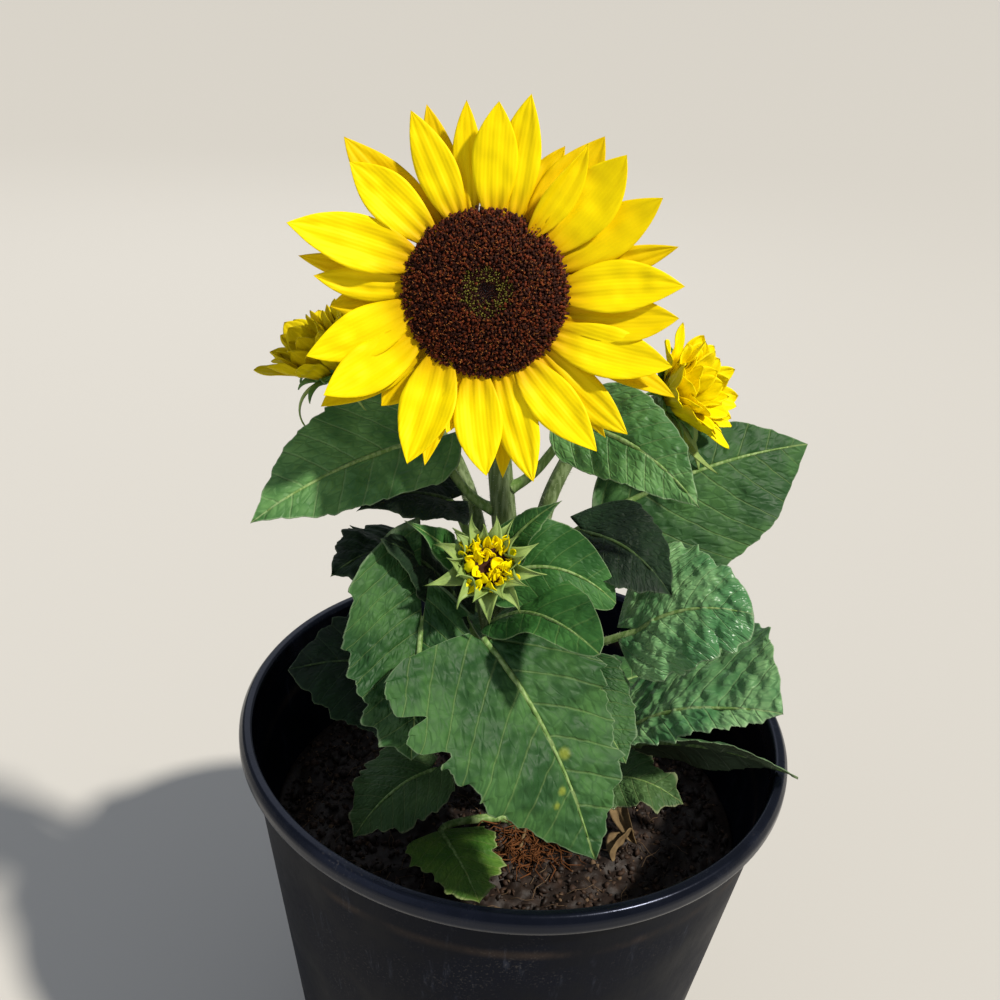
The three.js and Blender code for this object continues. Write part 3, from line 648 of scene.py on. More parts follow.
# Points along a stem's centre line, and the radius of a hair at its foot
STEM_STEPS = 260
HAIR_RADIUS = 0.075


def stem_line(name):
    """Centre line and radii of a stem: an even taper with a flare at the foot."""
    stem = STEMS[name]
    s = np.linspace(0, 1, STEM_STEPS)
    foot, head = stem["radii"]
    radii = foot + (head - foot) * s + stem["flare"] * np.exp(-s / 0.035)
    return smooth_path(stem["path"], STEM_STEPS), radii


def stem_at(name, height):
    """Point, rise and radius of a stem at a height."""
    line, radii = stem_line(name)
    rise = unit(np.gradient(line, axis=0))
    k = np.argmax(line[:, 2] >= height)
    return line[k], rise[k], radii[k]


def flutes(seed):
    """Relief of a stem: seven shallow flutes that wander along it, finer ones between, and swellings."""
    def relief(walked, angle):
        wander = 0.8 * noise(walked / 45, 0 * walked, seed)
        return (0.14 * np.cos(7 * angle + wander) + 0.06 * np.cos(13 * angle - 2 * wander)
                + 0.12 * noise(walked / 9, angle * 1.2, seed + 1))
    return relief


def bristles(line, radii, per_mm, seed, length=(0.7, 1.7)):
    """Stiff hairs: thin three sided spikes scattered over a limb, leaning a little towards its head."""
    rng = np.random.default_rng(seed)
    tangent, side, other = square_to(line)
    count = int(walked_along(line)[-1] * per_mm)
    k = rng.integers(2, len(line) - 2, count)
    angle = rng.uniform(0, 2 * np.pi, count)[:, None]
    out = np.cos(angle) * side[k] + np.sin(angle) * other[k]
    foot = line[k] + out * (radii[k][:, None] - 0.15)
    lean = unit(out + 0.35 * tangent[k] + 0.25 * rng.normal(size=(count, 3)))
    across = unit(np.cross(lean, tangent[k]))
    axes = np.stack([across, np.cross(lean, across), lean], axis=1)
    corner = np.array([0, 2, 4]) * np.pi / 3
    ring = np.stack([np.cos(corner), np.sin(corner), 0 * corner], axis=1)
    spike = shape(np.vstack([ring, [[0, 0, 1]]]), [[[0, 1, 3], [1, 2, 3], [2, 0, 3], [2, 1, 0]]])
    wide = np.full(count, HAIR_RADIUS)
    return copies(spike, foot, axes, np.stack([wide, wide, rng.uniform(*length, count)], axis=1), paint=1)


for number, name in enumerate(STEMS):
    line, radii = stem_line(name)
    sides, hairs = (40, 7.0) if name == "main_stem" else (28, 5.0)
    body = rings_along(line, radii, sides, relief=flutes(10 + number))
    build(name, [body, bristles(line, radii, hairs, 20 + number)], [STEM, HAIR], "stem", name)


# Leaves

def leaf_axes(leaf):
    """Where a leaf lies: its base and length, and its directions along the midrib, up square to it, and
    across and out of the upper face, these two after the roll."""
    base, tip = np.array(leaf["base"], float), np.array(leaf["tip"], float)
    length = np.linalg.norm(tip - base)
    along = (tip - base) / length
    level = unit(np.cross(along, UP))
    lift = np.cross(level, along)
    roll = np.radians(leaf["roll"])
    across = level * np.cos(roll) + lift * np.sin(roll)
    out = lift * np.cos(roll) - level * np.sin(roll)
    return SimpleNamespace(base=base, length=length, along=along, lift=lift, across=across, out=out)


def leaf_outline(u, full, point):
    """Share of the full half width at u along the midrib: a quick rise at the stalk times a fall to the tip,
    as a share of its highest value, and drawn to a point over the last three tenths."""
    def share(x):
        return (1 - x) ** full * (1 - np.exp(-(x + 0.004) / 0.09)) ** 0.8
    return share(u) / share(np.linspace(0, 0.99, 100)).max() * np.clip((1 - u) / 0.3, 0, 1) ** point


def saw(phase):
    """A forward pointing tooth: slow to rise and quick to fall."""
    x = phase % 1
    return np.where(x < 0.78, x / 0.78, (1 - x) / 0.22)


def vein_fit(length):
    """Stretch of the places on a leaf's surface that gives every leaf about seven pairs of veins."""
    return VEIN_STEP / np.clip(length / 6.5, 7, 15)


def leaf_grid(leaf, look, length, seed):
    """The blade's grid: u runs along the midrib, closer at the stalk, and t across it from -1 to 1, closer
    at the midrib and the margins. The outline sets the half width, bays notch it, and lobes and sweep draw
    the margins back. s and d are the places along and across in millimetres, and walk an uneven way along
    the margin."""
    rows, cols = look["grid"]
    u = (np.linspace(0, 1, rows) ** 1.25)[:, None]
    q = np.linspace(-1, 1, cols)[None, :]
    t = q - 0.6 * np.sin(2 * np.pi * q) / (2 * np.pi)
    side = (t > 0).astype(int)
    share = leaf_outline(u, leaf["full"], look["point"])
    half = np.array(leaf["halves"], float)[side] * share
    for which, at, depth, wide in look["bays"]:
        half = half * (1 - depth * (side == which) * np.exp(-((u - at) / wide) ** 2))
    lobes, sweep = np.array(leaf["lobes"], float)[side], np.array(leaf["sweep"], float)[side]
    back = lobes * length * np.abs(t) ** 1.5 * (1 - u) ** 4 + sweep * half * np.abs(t)
    walk = u * length * 1.1 + 2.5 * noise(u * 6, side * 7.3, seed)
    return SimpleNamespace(u=u, t=t, side=side, share=share, half=half, walk=walk, s=u * length - back,
                           d=half * t)


def margin_teeth(grid, look, seed):
    """How far the margin stands out: uneven teeth with small ones between, and ragged bites where the leaf
    is torn. All fade inwards and towards both ends of the leaf."""
    side, walk = grid.side, grid.walk
    tooth = saw(walk / TOOTH_STEP + side * 0.37) * (2.2 + 1.6 * noise(walk / 9.0, side * 3.1, seed + 1))
    tooth = look["teeth"] * (tooth + 0.5 * saw(walk / SMALL_TOOTH_STEP + side * 0.2))
    tooth = tooth + look["torn"] * noise(walk / 4.0, side * 5.7 + grid.t, seed + 5)
    return tooth * np.abs(grid.t) ** 7 * np.clip(grid.share * 3, 0, 1) * np.clip((1 - grid.u) * 12, 0, 1)


def skin_height(grid, leaf, look, fit, seed):
    """Height of the upper face over the flat blade: the fold, slow ripples and quick ruffles of the
    margins, skin that swells between the sunk side veins, blisters at two sizes, slow hollows and a sunk
    midrib, less the curl of the margins and the droop of the tip."""
    u, t, s, d, side, share = grid.u, grid.t, grid.s, grid.d, grid.side, grid.share
    off, away = np.abs(t), np.abs(d)
    ripple = leaf["wave"] * t * t * share * np.sin(2 * np.pi * 1.7 * u + 1.2 * np.sign(t))
    ruffle = 2.4 * look["teeth"] ** 0.5 * off ** 3 * share * noise(grid.walk / 11.0, side * 9.1, seed + 2)
    phase = fit * (s - VEIN_SLANT * away - VEIN_BOW * fit * away ** 2) / VEIN_STEP + VEIN_SHIFT * side
    inside = 1 - off ** 6
    swell = look["quilt"] * look["pucker"] * (0.5 - 0.5 * np.cos(2 * np.pi * phase))
    swell = swell * (1 - np.exp(-(away / 6) ** 2)) * inside * (0.8 + 0.5 * noise(s / 9, d / 9, seed + 7))
    wide = look["blister"]
    blister = 0.6 * noise(s / wide, d / wide, seed + 3) + 0.3 * noise(s / wide * 2, d / wide * 2, seed + 4)
    blister = look["pucker"] * inside * blister
    hollow = look["rumple"] * noise(s / 24, d / 24, seed + 6) * np.clip(u * 4, 0, 1) * (0.4 + 0.6 * off)
    rib = -0.7 * np.exp(-(away / 1.3) ** 2) * np.clip((1 - u) * 3, 0, 1)
    fold = away * np.sin(np.radians(leaf["fold"]))
    curl = look["curl"] * 6 * off ** 4 * share
    return fold + ripple + ruffle + swell + blister + hollow + rib - curl - look["droop"] * u ** 3


def blade(leaf, look, seed):
    """Heart shaped blade: the grid is laid along the arching midrib and across it, the teeth stand out from
    the margins and point to the tip, and the skin rises out of the face. A parallel face closes it."""
    place = leaf_axes(leaf)
    length, out = place.length, place.out
    grid = leaf_grid(leaf, look, length, seed)
    u, t, s, d = grid.u, grid.t, grid.s, grid.d
    fit = vein_fit(length)
    tooth = margin_teeth(grid, look, seed)
    across = d * np.cos(np.radians(leaf["fold"])) + np.sign(t) * tooth
    arch = leaf["arch"] * 4 * u * (1 - u) + 0 * t
    rise = skin_height(grid, leaf, look, fit, seed)
    top = (place.base + place.along * (s + 0.5 * tooth)[..., None] + place.across * across[..., None]
           + place.lift * arch[..., None] + out * rise[..., None])
    thick = (LEAF_THICK * (1 - 0.5 * np.abs(t) ** 4) + 0 * u)[..., None]
    spot = np.zeros_like(s)
    for at, off, size in look["spots"]:
        spot = np.maximum(spot, np.clip(1.6 - np.hypot(s - at, d - off) / size, 0, 1))
    edge = np.minimum((1 - np.abs(t)) * np.maximum(grid.half, 1.0), (1 - u) * length)
    return closed_sheet(top + out * thick / 2, top - out * thick / 2, np.stack([s, d], axis=-1) * fit,
                        edge=edge, reach=np.broadcast_to(u, s.shape), spot=spot)


def midrib(leaf, look, seed):
    """Midrib: a tapering ridge under the blade that follows its arch, its droop and part of its hollows."""
    place = leaf_axes(leaf)
    length = place.length
    w = np.linspace(-0.02, 0.9, 40)[:, None]
    inside = np.maximum(w, 0)
    hollow = 0.4 * look["rumple"] * noise(w * length / 24, 0 * w, seed + 6) * np.clip(w * 4, 0, 1)
    sunk = 0.55 - 0.25 * w + look["droop"] * inside ** 3 - hollow
    arch = leaf["arch"] * 4 * inside * (1 - w)
    line = place.base + place.along * w * length + place.lift * arch - place.out * sunk
    return rings_along(line, np.linspace(1.35, 0.35, len(w)) * min(1, length / 55), 8, paint=1)


def stalk_line(leaf):
    """Leaf stalk: leaves the stem sideways and runs in under the blade, in line with the midrib."""
    place = leaf_axes(leaf)
    point, rise, radius = stem_at("main_stem", leaf["start"])
    head = place.base - place.out * 0.9 + place.along * 2
    way = head - point
    side = unit(way - rise * (way @ rise))
    start = unit(side + 0.35 * rise)
    foot = point + side * (radius - 0.8)
    return bezier(foot, foot + start * np.linalg.norm(way) * 0.4, head - place.along * 10, head, 60)


def ridges(seed):
    """Relief of a leaf stalk: five shallow lengthwise ridges and slow swellings."""
    return lambda walked, angle: 0.12 * np.cos(5 * angle) + 0.08 * noise(walked / 7, angle, seed)


def make_leaf(name, leaf, young, seed):
    """A leaf: blade and midrib are one piece, and the stalk, which a young leaf has not, is another."""
    leaf = {**LEAF_DEFAULTS, **leaf}
    look = {**LOOK_DEFAULTS, **LOOKS.get(name, {})}
    node = name if young else f"{name}_leaf"
    # Shaded leaves get a midrib darkened as painted shade too
    rib = PAINTED_SHADE_RIB if look["tone"] == "leaf_painted_shade" else STALK
    items = [blade(leaf, look, seed), midrib(leaf, look, seed)]
    build(node, items, [LEAF_TONES[look["tone"]], rib], "leaf", node)
    if young:
        return
    line = stalk_line(leaf)
    k = np.linspace(0, 1, len(line))
    radii = 2.2 - 0.7 * k + 0.9 * np.exp(-k / 0.05)
    rod = rings_along(line, radii, 16, relief=ridges(seed))
    hairs = bristles(line, radii, 2.5, seed + 500, (0.5, 1.2))
    build(f"{name}_stalk", [rod, hairs], [STALK, HAIR], "leaf_stalk", f"{name}_stalk")


for number, (name, leaf) in enumerate(LEAVES.items()):
    make_leaf(name, leaf, False, 100 + 10 * number)
for number, (name, leaf) in enumerate(YOUNG_LEAVES.items()):
    point, rise, radius = stem_at("bud_stem", leaf["start"])
    way = np.array(leaf["tip"], float) - point
    side = unit(way - rise * (way @ rise))
    make_leaf(name, dict(lobes=(0, 0), base=point + side * (radius - 0.2), **leaf), True, 400 + 10 * number)


# Petals and heads

def petal(length, width, slopes, widest=0.5, point=2.3, claw=0.4, blunt=0.85, cup=0.0, twist=0.0,
          bend=0.0, ribs=0.3, gather=0.0, crumple=0.0, wave=0.0, tone=0.0, rows=34, cols=17, thick=0.35,
          seed=0, paint=0):
    """A petal or bract that starts at the origin along +X with its face to +Z. Its slope turns evenly from
    the first angle to the second, bend turns it sideways and twist rolls it, all in degrees. The outline
    widens from the claw to the widest place and then closes as (1 - share ** point) ** blunt. Cup and ribs
    shape it across, gather folds the claw, crumple adds noise, and wave lifts the margins. Tone is a mark
    for the material: how far it darkens to ochre, as painted shade on hinder and shaded petals and as a
    random tint on others."""
    u = np.linspace(0, 1, rows)
    t = np.linspace(-1, 1, cols)[None, :]
    slope = np.radians(slopes[0] + (slopes[1] - slopes[0]) * u)
    turn = np.radians(bend) * (u - 0.5)
    ahead = np.stack([np.cos(slope) * np.cos(turn), np.cos(slope) * np.sin(turn), np.sin(slope)], axis=1)
    steps = np.cumsum((ahead[1:] + ahead[:-1]) / 2, axis=0)
    line = np.concatenate([[[0, 0, 0]], steps]) * length / (rows - 1)
    side = np.stack([-np.sin(turn), np.cos(turn), 0 * turn], axis=1)
    face = np.cross(ahead, side)
    roll = np.radians(twist) * u
    side, face = (side * np.cos(roll)[:, None] + face * np.sin(roll)[:, None],
                  face * np.cos(roll)[:, None] - side * np.sin(roll)[:, None])
    u = u[:, None]
    opening = claw + (1 - claw) * (1 - (1 - np.minimum(u / widest, 1)) ** 1.75)
    closing = (1 - np.clip((u - widest) / (1 - widest), 0, 1) ** point) ** blunt
    half = width / 2 * opening * closing
    y = half * t
    folds = (ribs * np.sin(np.pi * u) ** 0.5 + gather * np.exp(-u / 0.22)) * np.cos(3 * np.pi * t)
    waves = wave * t * t * np.sin(2 * np.pi * (1.3 * u + 0.23 * np.sign(t)) + seed) * np.sin(np.pi * u)
    z = cup * half * t * t + folds + crumple * noise(u * length / 5, y / 4 + 9, seed) + waves
    middle = line[:, None] + side[:, None] * y[..., None] + face[:, None] * z[..., None]
    shell = np.broadcast_to(face[:, None] * thick / 2, middle.shape)
    uv = np.stack(np.broadcast_arrays(u * length, y), axis=-1)
    return closed_sheet(middle + shell, middle - shell, uv, paint, reach=np.broadcast_to(u, y.shape),
                        tone=np.full(y.shape, tone))


def head_axes(facing):
    """Right, up and facing directions of a head."""
    facing = unit(facing)
    up = unit(UP - facing * (UP @ facing))
    return np.cross(up, facing), up, facing


def ray(head, angle, out, height):
    """Origin and axes of a petal: angle in degrees clockwise from the head's top, distance out, height."""
    centre, (right, up, facing) = head
    a = np.radians(angle)
    radial = np.sin(a) * right + np.cos(a) * up
    return centre + radial * out + facing * height, np.stack([radial, np.cross(facing, radial), facing])


def between(head, first, start, last, reach, height):
    """Origin, axes and length of a petal that runs from one direction and distance on a head to another."""
    centre, (right, up, facing) = head
    a, b = np.radians((first, last))
    foot = start * (np.sin(a) * right + np.cos(a) * up)
    tip = reach * (np.sin(b) * right + np.cos(b) * up)
    way = unit(tip - foot)
    axes = np.stack([way, np.cross(facing, way), facing])
    return centre + foot + facing * height, axes, np.linalg.norm(tip - foot)


tilt = np.radians(BLOOM["tilt"])
BLOOM_HEAD = (np.array(BLOOM["centre"], float), head_axes([0, -np.cos(tilt), np.sin(tilt)]))

# Ray petals of the main bloom: direction at the claw and at the tip in degrees clockwise from the top, tip
# radius, width, its row (from 0 behind to 2.6 in front), and what sets one apart
PETALS = [
    (3, 0, 64, 15.6, 2.3), (16, 9, 68, 14.8, 2), (34, 31, 61, 11, 2.6, dict(twist=38, cup=0.5)),
    (30, 33, 68, 18.5, 0), (22, 24, 58, 13, 0), (50, 42, 67, 19.4, 2, dict(cup=0.2)), (64, 58, 69, 17.4, 1.2),
    (74, 72, 69, 10.5, 0.2), (86, 84, 69, 18, 2, dict(twist=-10)), (103, 93, 68, 16.4, 1),
    (116, 114, 76, 12.2, 0, dict(twist=-20)), (118, 107, 70, 18.0, 2, dict(twist=-12, cup=0.2)),
    (132, 135, 66, 9.2, 0, dict(twist=30, cup=0.4)), (131, 130, 70, 14.5, 1.2), (148, 140, 68, 16.4, 2),
    (158, 170, 65, 10.2, 0), (163, 161, 68, 15.4, 2), (183, 175, 64, 16.8, 2), (191, 191, 51, 10.2, 1.4),
    (197, 195, 64, 9.2, 0.8), (214, 200, 66, 19.4, 2, dict(twist=20, cup=0.3)), (230, 231, 70, 16.4, 0.8),
    (237, 233, 67, 17.4, 1.8), (257, 246, 66, 17.4, 2.2), (264, 261, 55, 14, 0),
    (272, 271, 60, 12.2, 1, dict(twist=-15)), (278, 277, 67, 9.4, 0), (290, 284, 72, 18.8, 2, dict(twist=8)),
    (310, 309, 64, 16.5, 2), (320, 313, 72, 17.0, 0, dict(twist=12)), (328, 338, 68, 12.2, 0),
    (335, 333, 66, 14.2, 1.8), (344, 350, 65, 10.4, 1.4, dict(twist=10)), (223, 219, 54, 14, 0.2),
]


def bloom_petals():
    """Thirty four ray petals in overlapping rows round the disc, each with its own lean and twist, and a
    tone that darkens the hinder rows as painted shade.
    """
    rng = np.random.default_rng(7)
    items = []
    for k, (first, last, reach, width, row, *own) in enumerate(PETALS):
        height = BLOOM["hindmost"] + BLOOM["row"] * row
        origin, axes, length = between(BLOOM_HEAD, first, BLOOM["claws"], last, reach, height)
        # Hinder rows get more tone: painted shade from the petals in front of them
        look = dict(slopes=(-4 + 3.5 * row + rng.uniform(-3, 3), 6 + 5 * row + rng.uniform(-6, 9)),
                    twist=rng.uniform(-14, 14), bend=rng.uniform(-16, 16), cup=rng.uniform(-0.04, 0.22),
                    tone=0.15 * (2.3 - row), claw=0.28, widest=rng.uniform(0.44, 0.56), point=1.9, blunt=1.0,
                    gather=0.5, crumple=0.45, seed=50 + k, ribs=rng.uniform(0.1, 0.32),
                    wave=rng.uniform(0.2, 0.9))
        look.update(*own)
        items.append(moved(petal(length * 1.02, width * 1.03, **look), origin, axes))
    return items


build("bloom_petals", bloom_petals(), [PETAL], "ray_petal", "bloom_petals")


def floret(lobe, tall, closed=0.0):
    """A disc floret: a tube of the given height that widens to five lobes; closed draws them together."""
    sides = 10
    j = np.arange(sides)
    angle = j * 2 * np.pi / sides
    star = np.where(j % 2 == 0, 1.0, 0.72)
    foot = np.stack([0.38 * np.cos(angle), 0.38 * np.sin(angle), 0 * angle], axis=1)
    wide = (0.58 - 0.33 * closed) * star
    mouth = np.stack([wide * np.cos(angle), wide * np.sin(angle), tall + (star - 0.9) * lobe], axis=1)
    points = np.concatenate([foot, mouth, [[0, 0, 0.8 * tall + closed * 0.5]]])
    lid = np.stack([sides + j, sides + (j + 1) % sides, np.full(sides, 2 * sides)], axis=1)
    return shape(points, [grid_faces(2, sides, wrap=True), lid])


def dome(r):
    """Height of the disc's face: a broad dome with a dimple in its middle, sunk 2 mm among the petals."""
    share = r / BLOOM["disc"]
    return BLOOM["dome"] * (1 - 0.85 * share ** 2.6) - 1.4 * np.exp(-(r / 4.5) ** 2) - 2.0


# Florets: the turn from each to the next, how many cover the disc, and how many ring it
GOLDEN_TURN = np.pi * (3 - np.sqrt(5))
FLORETS = 4000
FRINGE = 330


def seed_disc():
    """Florets set on a sunflower spiral, each a golden turn on and at a radius that grows as the square
    root of its number: open ones flecked with red outside, a green ring, then a dark closed middle."""
    rng = np.random.default_rng(11)
    centre, (right, up, facing) = BLOOM_HEAD
    k = np.arange(FLORETS)
    r = (BLOOM["disc"] - 1.0) * np.sqrt((k + 0.5) / FLORETS)
    a = k * GOLDEN_TURN
    radial = np.cos(a)[:, None] * right + np.sin(a)[:, None] * up
    slope = np.gradient(dome(r), r)
    lean = unit(facing - radial * (slope * 0.8)[:, None] + 0.16 * rng.normal(size=(FLORETS, 3)))
    lean = np.where((r > BLOOM["disc"] - 2.5)[:, None], unit(lean + 0.4 * radial), lean)
    foot = centre + radial * r[:, None] + facing * (dome(r) - 1.0)[:, None]
    sideways = unit(np.cross(lean, radial))
    axes = np.stack([np.cross(sideways, lean), sideways, lean], axis=1)
    share = r / BLOOM["disc"]
    draw = rng.uniform(size=FLORETS)
    ring = share > 0.13 + 0.03 * rng.normal(size=FLORETS)
    ring &= share < 0.31 + 0.03 * rng.normal(size=FLORETS)
    middle = (share <= 0.15) & ~ring
    opened = ~ring & ~middle
    sizes = rng.uniform(0.66, 0.9, FLORETS)[:, None] * np.ones(3)
    sizes[:, 2] *= np.where(opened, rng.uniform(0.9, 1.35, FLORETS), 1.1)
    flower, bud, knob = floret(0.7, 2.6), floret(0.1, 1.9, 0.9), floret(0.0, 1.5, 1.2)
    items = [copies(model, foot[chosen], axes[chosen], sizes[chosen], paint) for model, chosen, paint in (
        (flower, opened & (draw < 0.68), 0), (flower, opened & (draw >= 0.68), 1),
        (bud, ring & (draw < 0.62), 3), (bud, ring & (draw >= 0.62), 0), (knob, middle, 4))]
    items += fringe(rng, flower)
    return items + stigmas(rng, foot, axes, sizes, np.flatnonzero(opened & (rng.uniform(size=FLORETS) < 0.3)))


def fringe(rng, flower):
    """A close ring of florets that lean outwards over the disc's rim and hide the claws of the petals."""
    centre, (right, up, facing) = BLOOM_HEAD
    a = np.arange(FRINGE) * GOLDEN_TURN
    r = BLOOM["disc"] + rng.uniform(-2.6, -0.6, FRINGE)
    radial = np.cos(a)[:, None] * right + np.sin(a)[:, None] * up
    tangent = np.cross(facing, radial)
    spread, sway = rng.uniform(0.2, 1.3, (FRINGE, 1)), rng.uniform(-0.3, 0.3, (FRINGE, 1))
    out = unit(facing + radial * spread + tangent * sway)
    axes = np.stack([np.cross(tangent, out), tangent, out], axis=1)
    foot = centre + radial * r[:, None] + facing * (dome(r) - 1.2)[:, None]
    dark = rng.uniform(size=FRINGE) < 0.55
    return [copies(flower, foot[chosen], axes[chosen], (0.8, 0.8, 1.15), paint)
            for chosen, paint in ((dark, 0), (~dark, 1))]


def stigmas(rng, foot, axes, sizes, chosen):
    """Forked stigmas: two small curved prongs above each chosen floret, amber with pollen or still red."""
    prong = rings_along([[0, 0, 0], [0.25, 0, 0.45], [0.6, 0, 0.5]], [0.12, 0.1, 0.05], 3)
    lean = axes[chosen, 2]
    top = foot[chosen] + lean * (2.5 * sizes[chosen, 2])[:, None]
    items = []
    for flip in (1, -1):
        spin = rng.uniform(0, 2 * np.pi, len(chosen))[:, None]
        first = axes[chosen, 0] * np.cos(spin) + axes[chosen, 1] * np.sin(spin)
        ways = np.stack([flip * first, flip * np.cross(lean, first), lean], axis=1)
        amber = rng.uniform(size=len(chosen)) < 0.45
        items += [copies(prong, top[amber], ways[amber], 1.1, 2),
                  copies(prong, top[~amber], ways[~amber], 1.1, 1)]
    return items


def receptacle():
    """Green cup behind the disc: a turned bowl from the stalk's neck to the disc's rim, fluted on its outer
    half, and a dark floor under the florets that follows the dome."""
    r = BLOOM["disc"]
    profile = [(0, -19.6), (4.3, -19.4), (7, -18.4), (14, -16.2), (21, -12.6), (26, -8), (r - 1.2, -3.6),
               (r - 0.6, -1.4), (r - 1.2, 0.0)]
    bowl = turned(profile, 72, paint=5,
                  relief=lambda angle, out: 0.5 * np.cos(21 * angle) * np.clip((out - 8) / 12, 0, 1))
    inner = np.linspace(r - 1.2, 0, 14)
    lid = turned(np.stack([inner, dome(inner) - 0.6], axis=1), 72, paint=0)
    centre, axes = BLOOM_HEAD
    return [moved(bowl, centre, axes), moved(lid, centre, axes)]


# Bracts of the main bloom, row by row: how many, how far out and how high they start, and how long they are
BLOOM_BRACTS = [(21, 21.5, -8.2, 17), (17, 17, -12, 16)]


def bloom_bracts():
    """Pointed green bracts behind the petals, in two rows that spread and curl back."""
    rng = np.random.default_rng(13)
    items = []
    for row, (count, start, height, long) in enumerate(BLOOM_BRACTS):
        for k in range(count):
            one = petal(long * rng.uniform(0.85, 1.15), rng.uniform(6.5, 8.5),
                        (12 + 14 * row, -28 - rng.uniform(0, 25)), widest=0.22, point=1.15, claw=0.85,
                        cup=-0.12, twist=rng.uniform(-15, 15), ribs=0.12, rows=14, cols=7, thick=0.5, seed=k)
            angle = 360 * (k + 0.4 * row + rng.uniform(-0.2, 0.2)) / count
            items.append(moved(one, *ray(BLOOM_HEAD, angle, start, height)))
    return items


build("bloom_disc", seed_disc() + receptacle(),
      [FLORET, FLORET_RIM, POLLEN, FLORET_GREEN, FLORET_DARK, BRACT], "seed_disc", "bloom_disc")
build("bloom_bracts", bloom_bracts(), [BRACT], "flower_bud")


def stem_head(name):
    """Head at the end of a stem, facing on along it."""
    line, _ = stem_line(name)
    return line[-1], head_axes(line[-1] - line[-4])


def cup_and_disc(head, cup, disc):
    """Green cup behind a young head and the dark disc in it, each turned from its profile."""
    return [moved(turned(cup, 36, paint=1), *head), moved(turned(disc, 36, paint=2), *head)]


def half_open_flower(stem, seed, petals, bracts, open_to, painted_olive_shade, hanging):
    """A younger head: three rows of cupped petals over a small dark disc, in a calyx of pointed bracts.
    Every third bract is long, pale and curled. How far the petals are darkened to olive is painted shade,
    open_to is their slope at the tip in degrees, and hanging holds the direction, length and slopes of
    bracts that hang lower still."""
    rng = np.random.default_rng(seed)
    head = stem_head(stem)
    items = []
    for k in range(petals):
        row = k % 3
        one = petal(rng.uniform(21, 26) - 2 * row, rng.uniform(9, 12.5),
                    (80 - 14 * (2 - row), open_to + rng.uniform(-22, 22) + 10 * row), widest=0.55, point=2.6,
                    claw=0.4, cup=rng.uniform(0.1, 0.4), twist=rng.uniform(-28, 28),
                    bend=rng.uniform(-14, 14), ribs=0.4, crumple=0.9, tone=painted_olive_shade + rng.uniform(0, 0.12),
                    rows=20, cols=11, seed=seed + k)
        angle = 360 * (k + rng.uniform(-0.3, 0.3)) / petals
        items.append(moved(one, *ray(head, angle, 8.5 - 1.2 * row, 4.5)))
    for k in range(bracts):
        long = k % 3 == 0
        one = petal(rng.uniform(24, 30) if long else rng.uniform(15, 20), rng.uniform(4.5, 6.5),
                    (40 if long else 62, (-60 if long else -4) - rng.uniform(0, 50)), widest=0.2, point=1.1,
                    claw=0.8, cup=-0.1, twist=rng.uniform(-40, 40), bend=rng.uniform(-35, 35), ribs=0.1,
                    rows=16, cols=7, thick=0.5, seed=k, paint=3 if long else 1)
        angle = 360 * (k + rng.uniform(-0.3, 0.3)) / bracts
        items.append(moved(one, *ray(head, angle, 6.5, 1.0)))
    for angle, length, first, last in hanging:
        one = petal(length, 5.5, (first, last), widest=0.2, point=1.1, claw=0.8, cup=0.2, twist=40, bend=30,
                    ribs=0.2, rows=22, cols=7, thick=0.5, seed=length, paint=3)
        items.append(moved(one, *ray(head, angle, 6.5, 1.5)))
    return items + cup_and_disc(head, [(0, -0.5), (3.2, 0), (6.5, 1.2), (9.2, 3.6), (9.4, 6), (8.2, 7.2)],
                                [(8.2, 7.2), (5, 8.4), (2.5, 8.8), (0, 8.6)])


# The two younger flowers
SIDE_FLOWERS = {
    # The left head lies in the bloom's shade, so its petals carry painted shade
    "left_flower": dict(stem="left_stem", seed=210, petals=30, bracts=13, open_to=50, painted_olive_shade=0.4, hanging=[]),
    "right_flower": dict(stem="right_stem", seed=240, petals=36, bracts=14, open_to=42, painted_olive_shade=0.0,
                         hanging=[(172, 30, 20, -30), (196, 34, 10, 40), (222, 30, 5, -40)]),
}
for name, flower in SIDE_FLOWERS.items():
    build(name, half_open_flower(**flower), [SIDE_PETAL, BRACT, FLORET, BUD_BRACT], "ray_petal", name)


# Bracts of the bud: direction clockwise from the top, length, width, and first and last slope
BUD_BRACTS = [
    (-44, 12, 7, 60, -40), (-22, 14, 6.5, 70, 10), (-8, 11, 6.5, 78, 50), (10, 13, 7, 66, 0),
    (27, 14, 6, 60, -30), (48, 11, 7, 76, 35), (63, 14, 6.5, 55, -30), (84, 12, 7, 80, 60),
    (98, 15, 6.5, 50, -20), (120, 12, 7.5, 70, 10), (141, 14, 7, 50, -50), (156, 11, 7.5, 78, 20),
    (174, 15, 7, 45, -70), (194, 12, 7.5, 72, 30), (213, 13, 7, 60, -25), (236, 11, 7, 82, 50),
    (250, 16, 6.5, 38, -30), (270, 11, 7.5, 74, 40), (290, 14, 7, 52, -30), (312, 11, 7, 74, 20),
]
# How many crumpled petals fill the bud
BUD_PETALS = 58


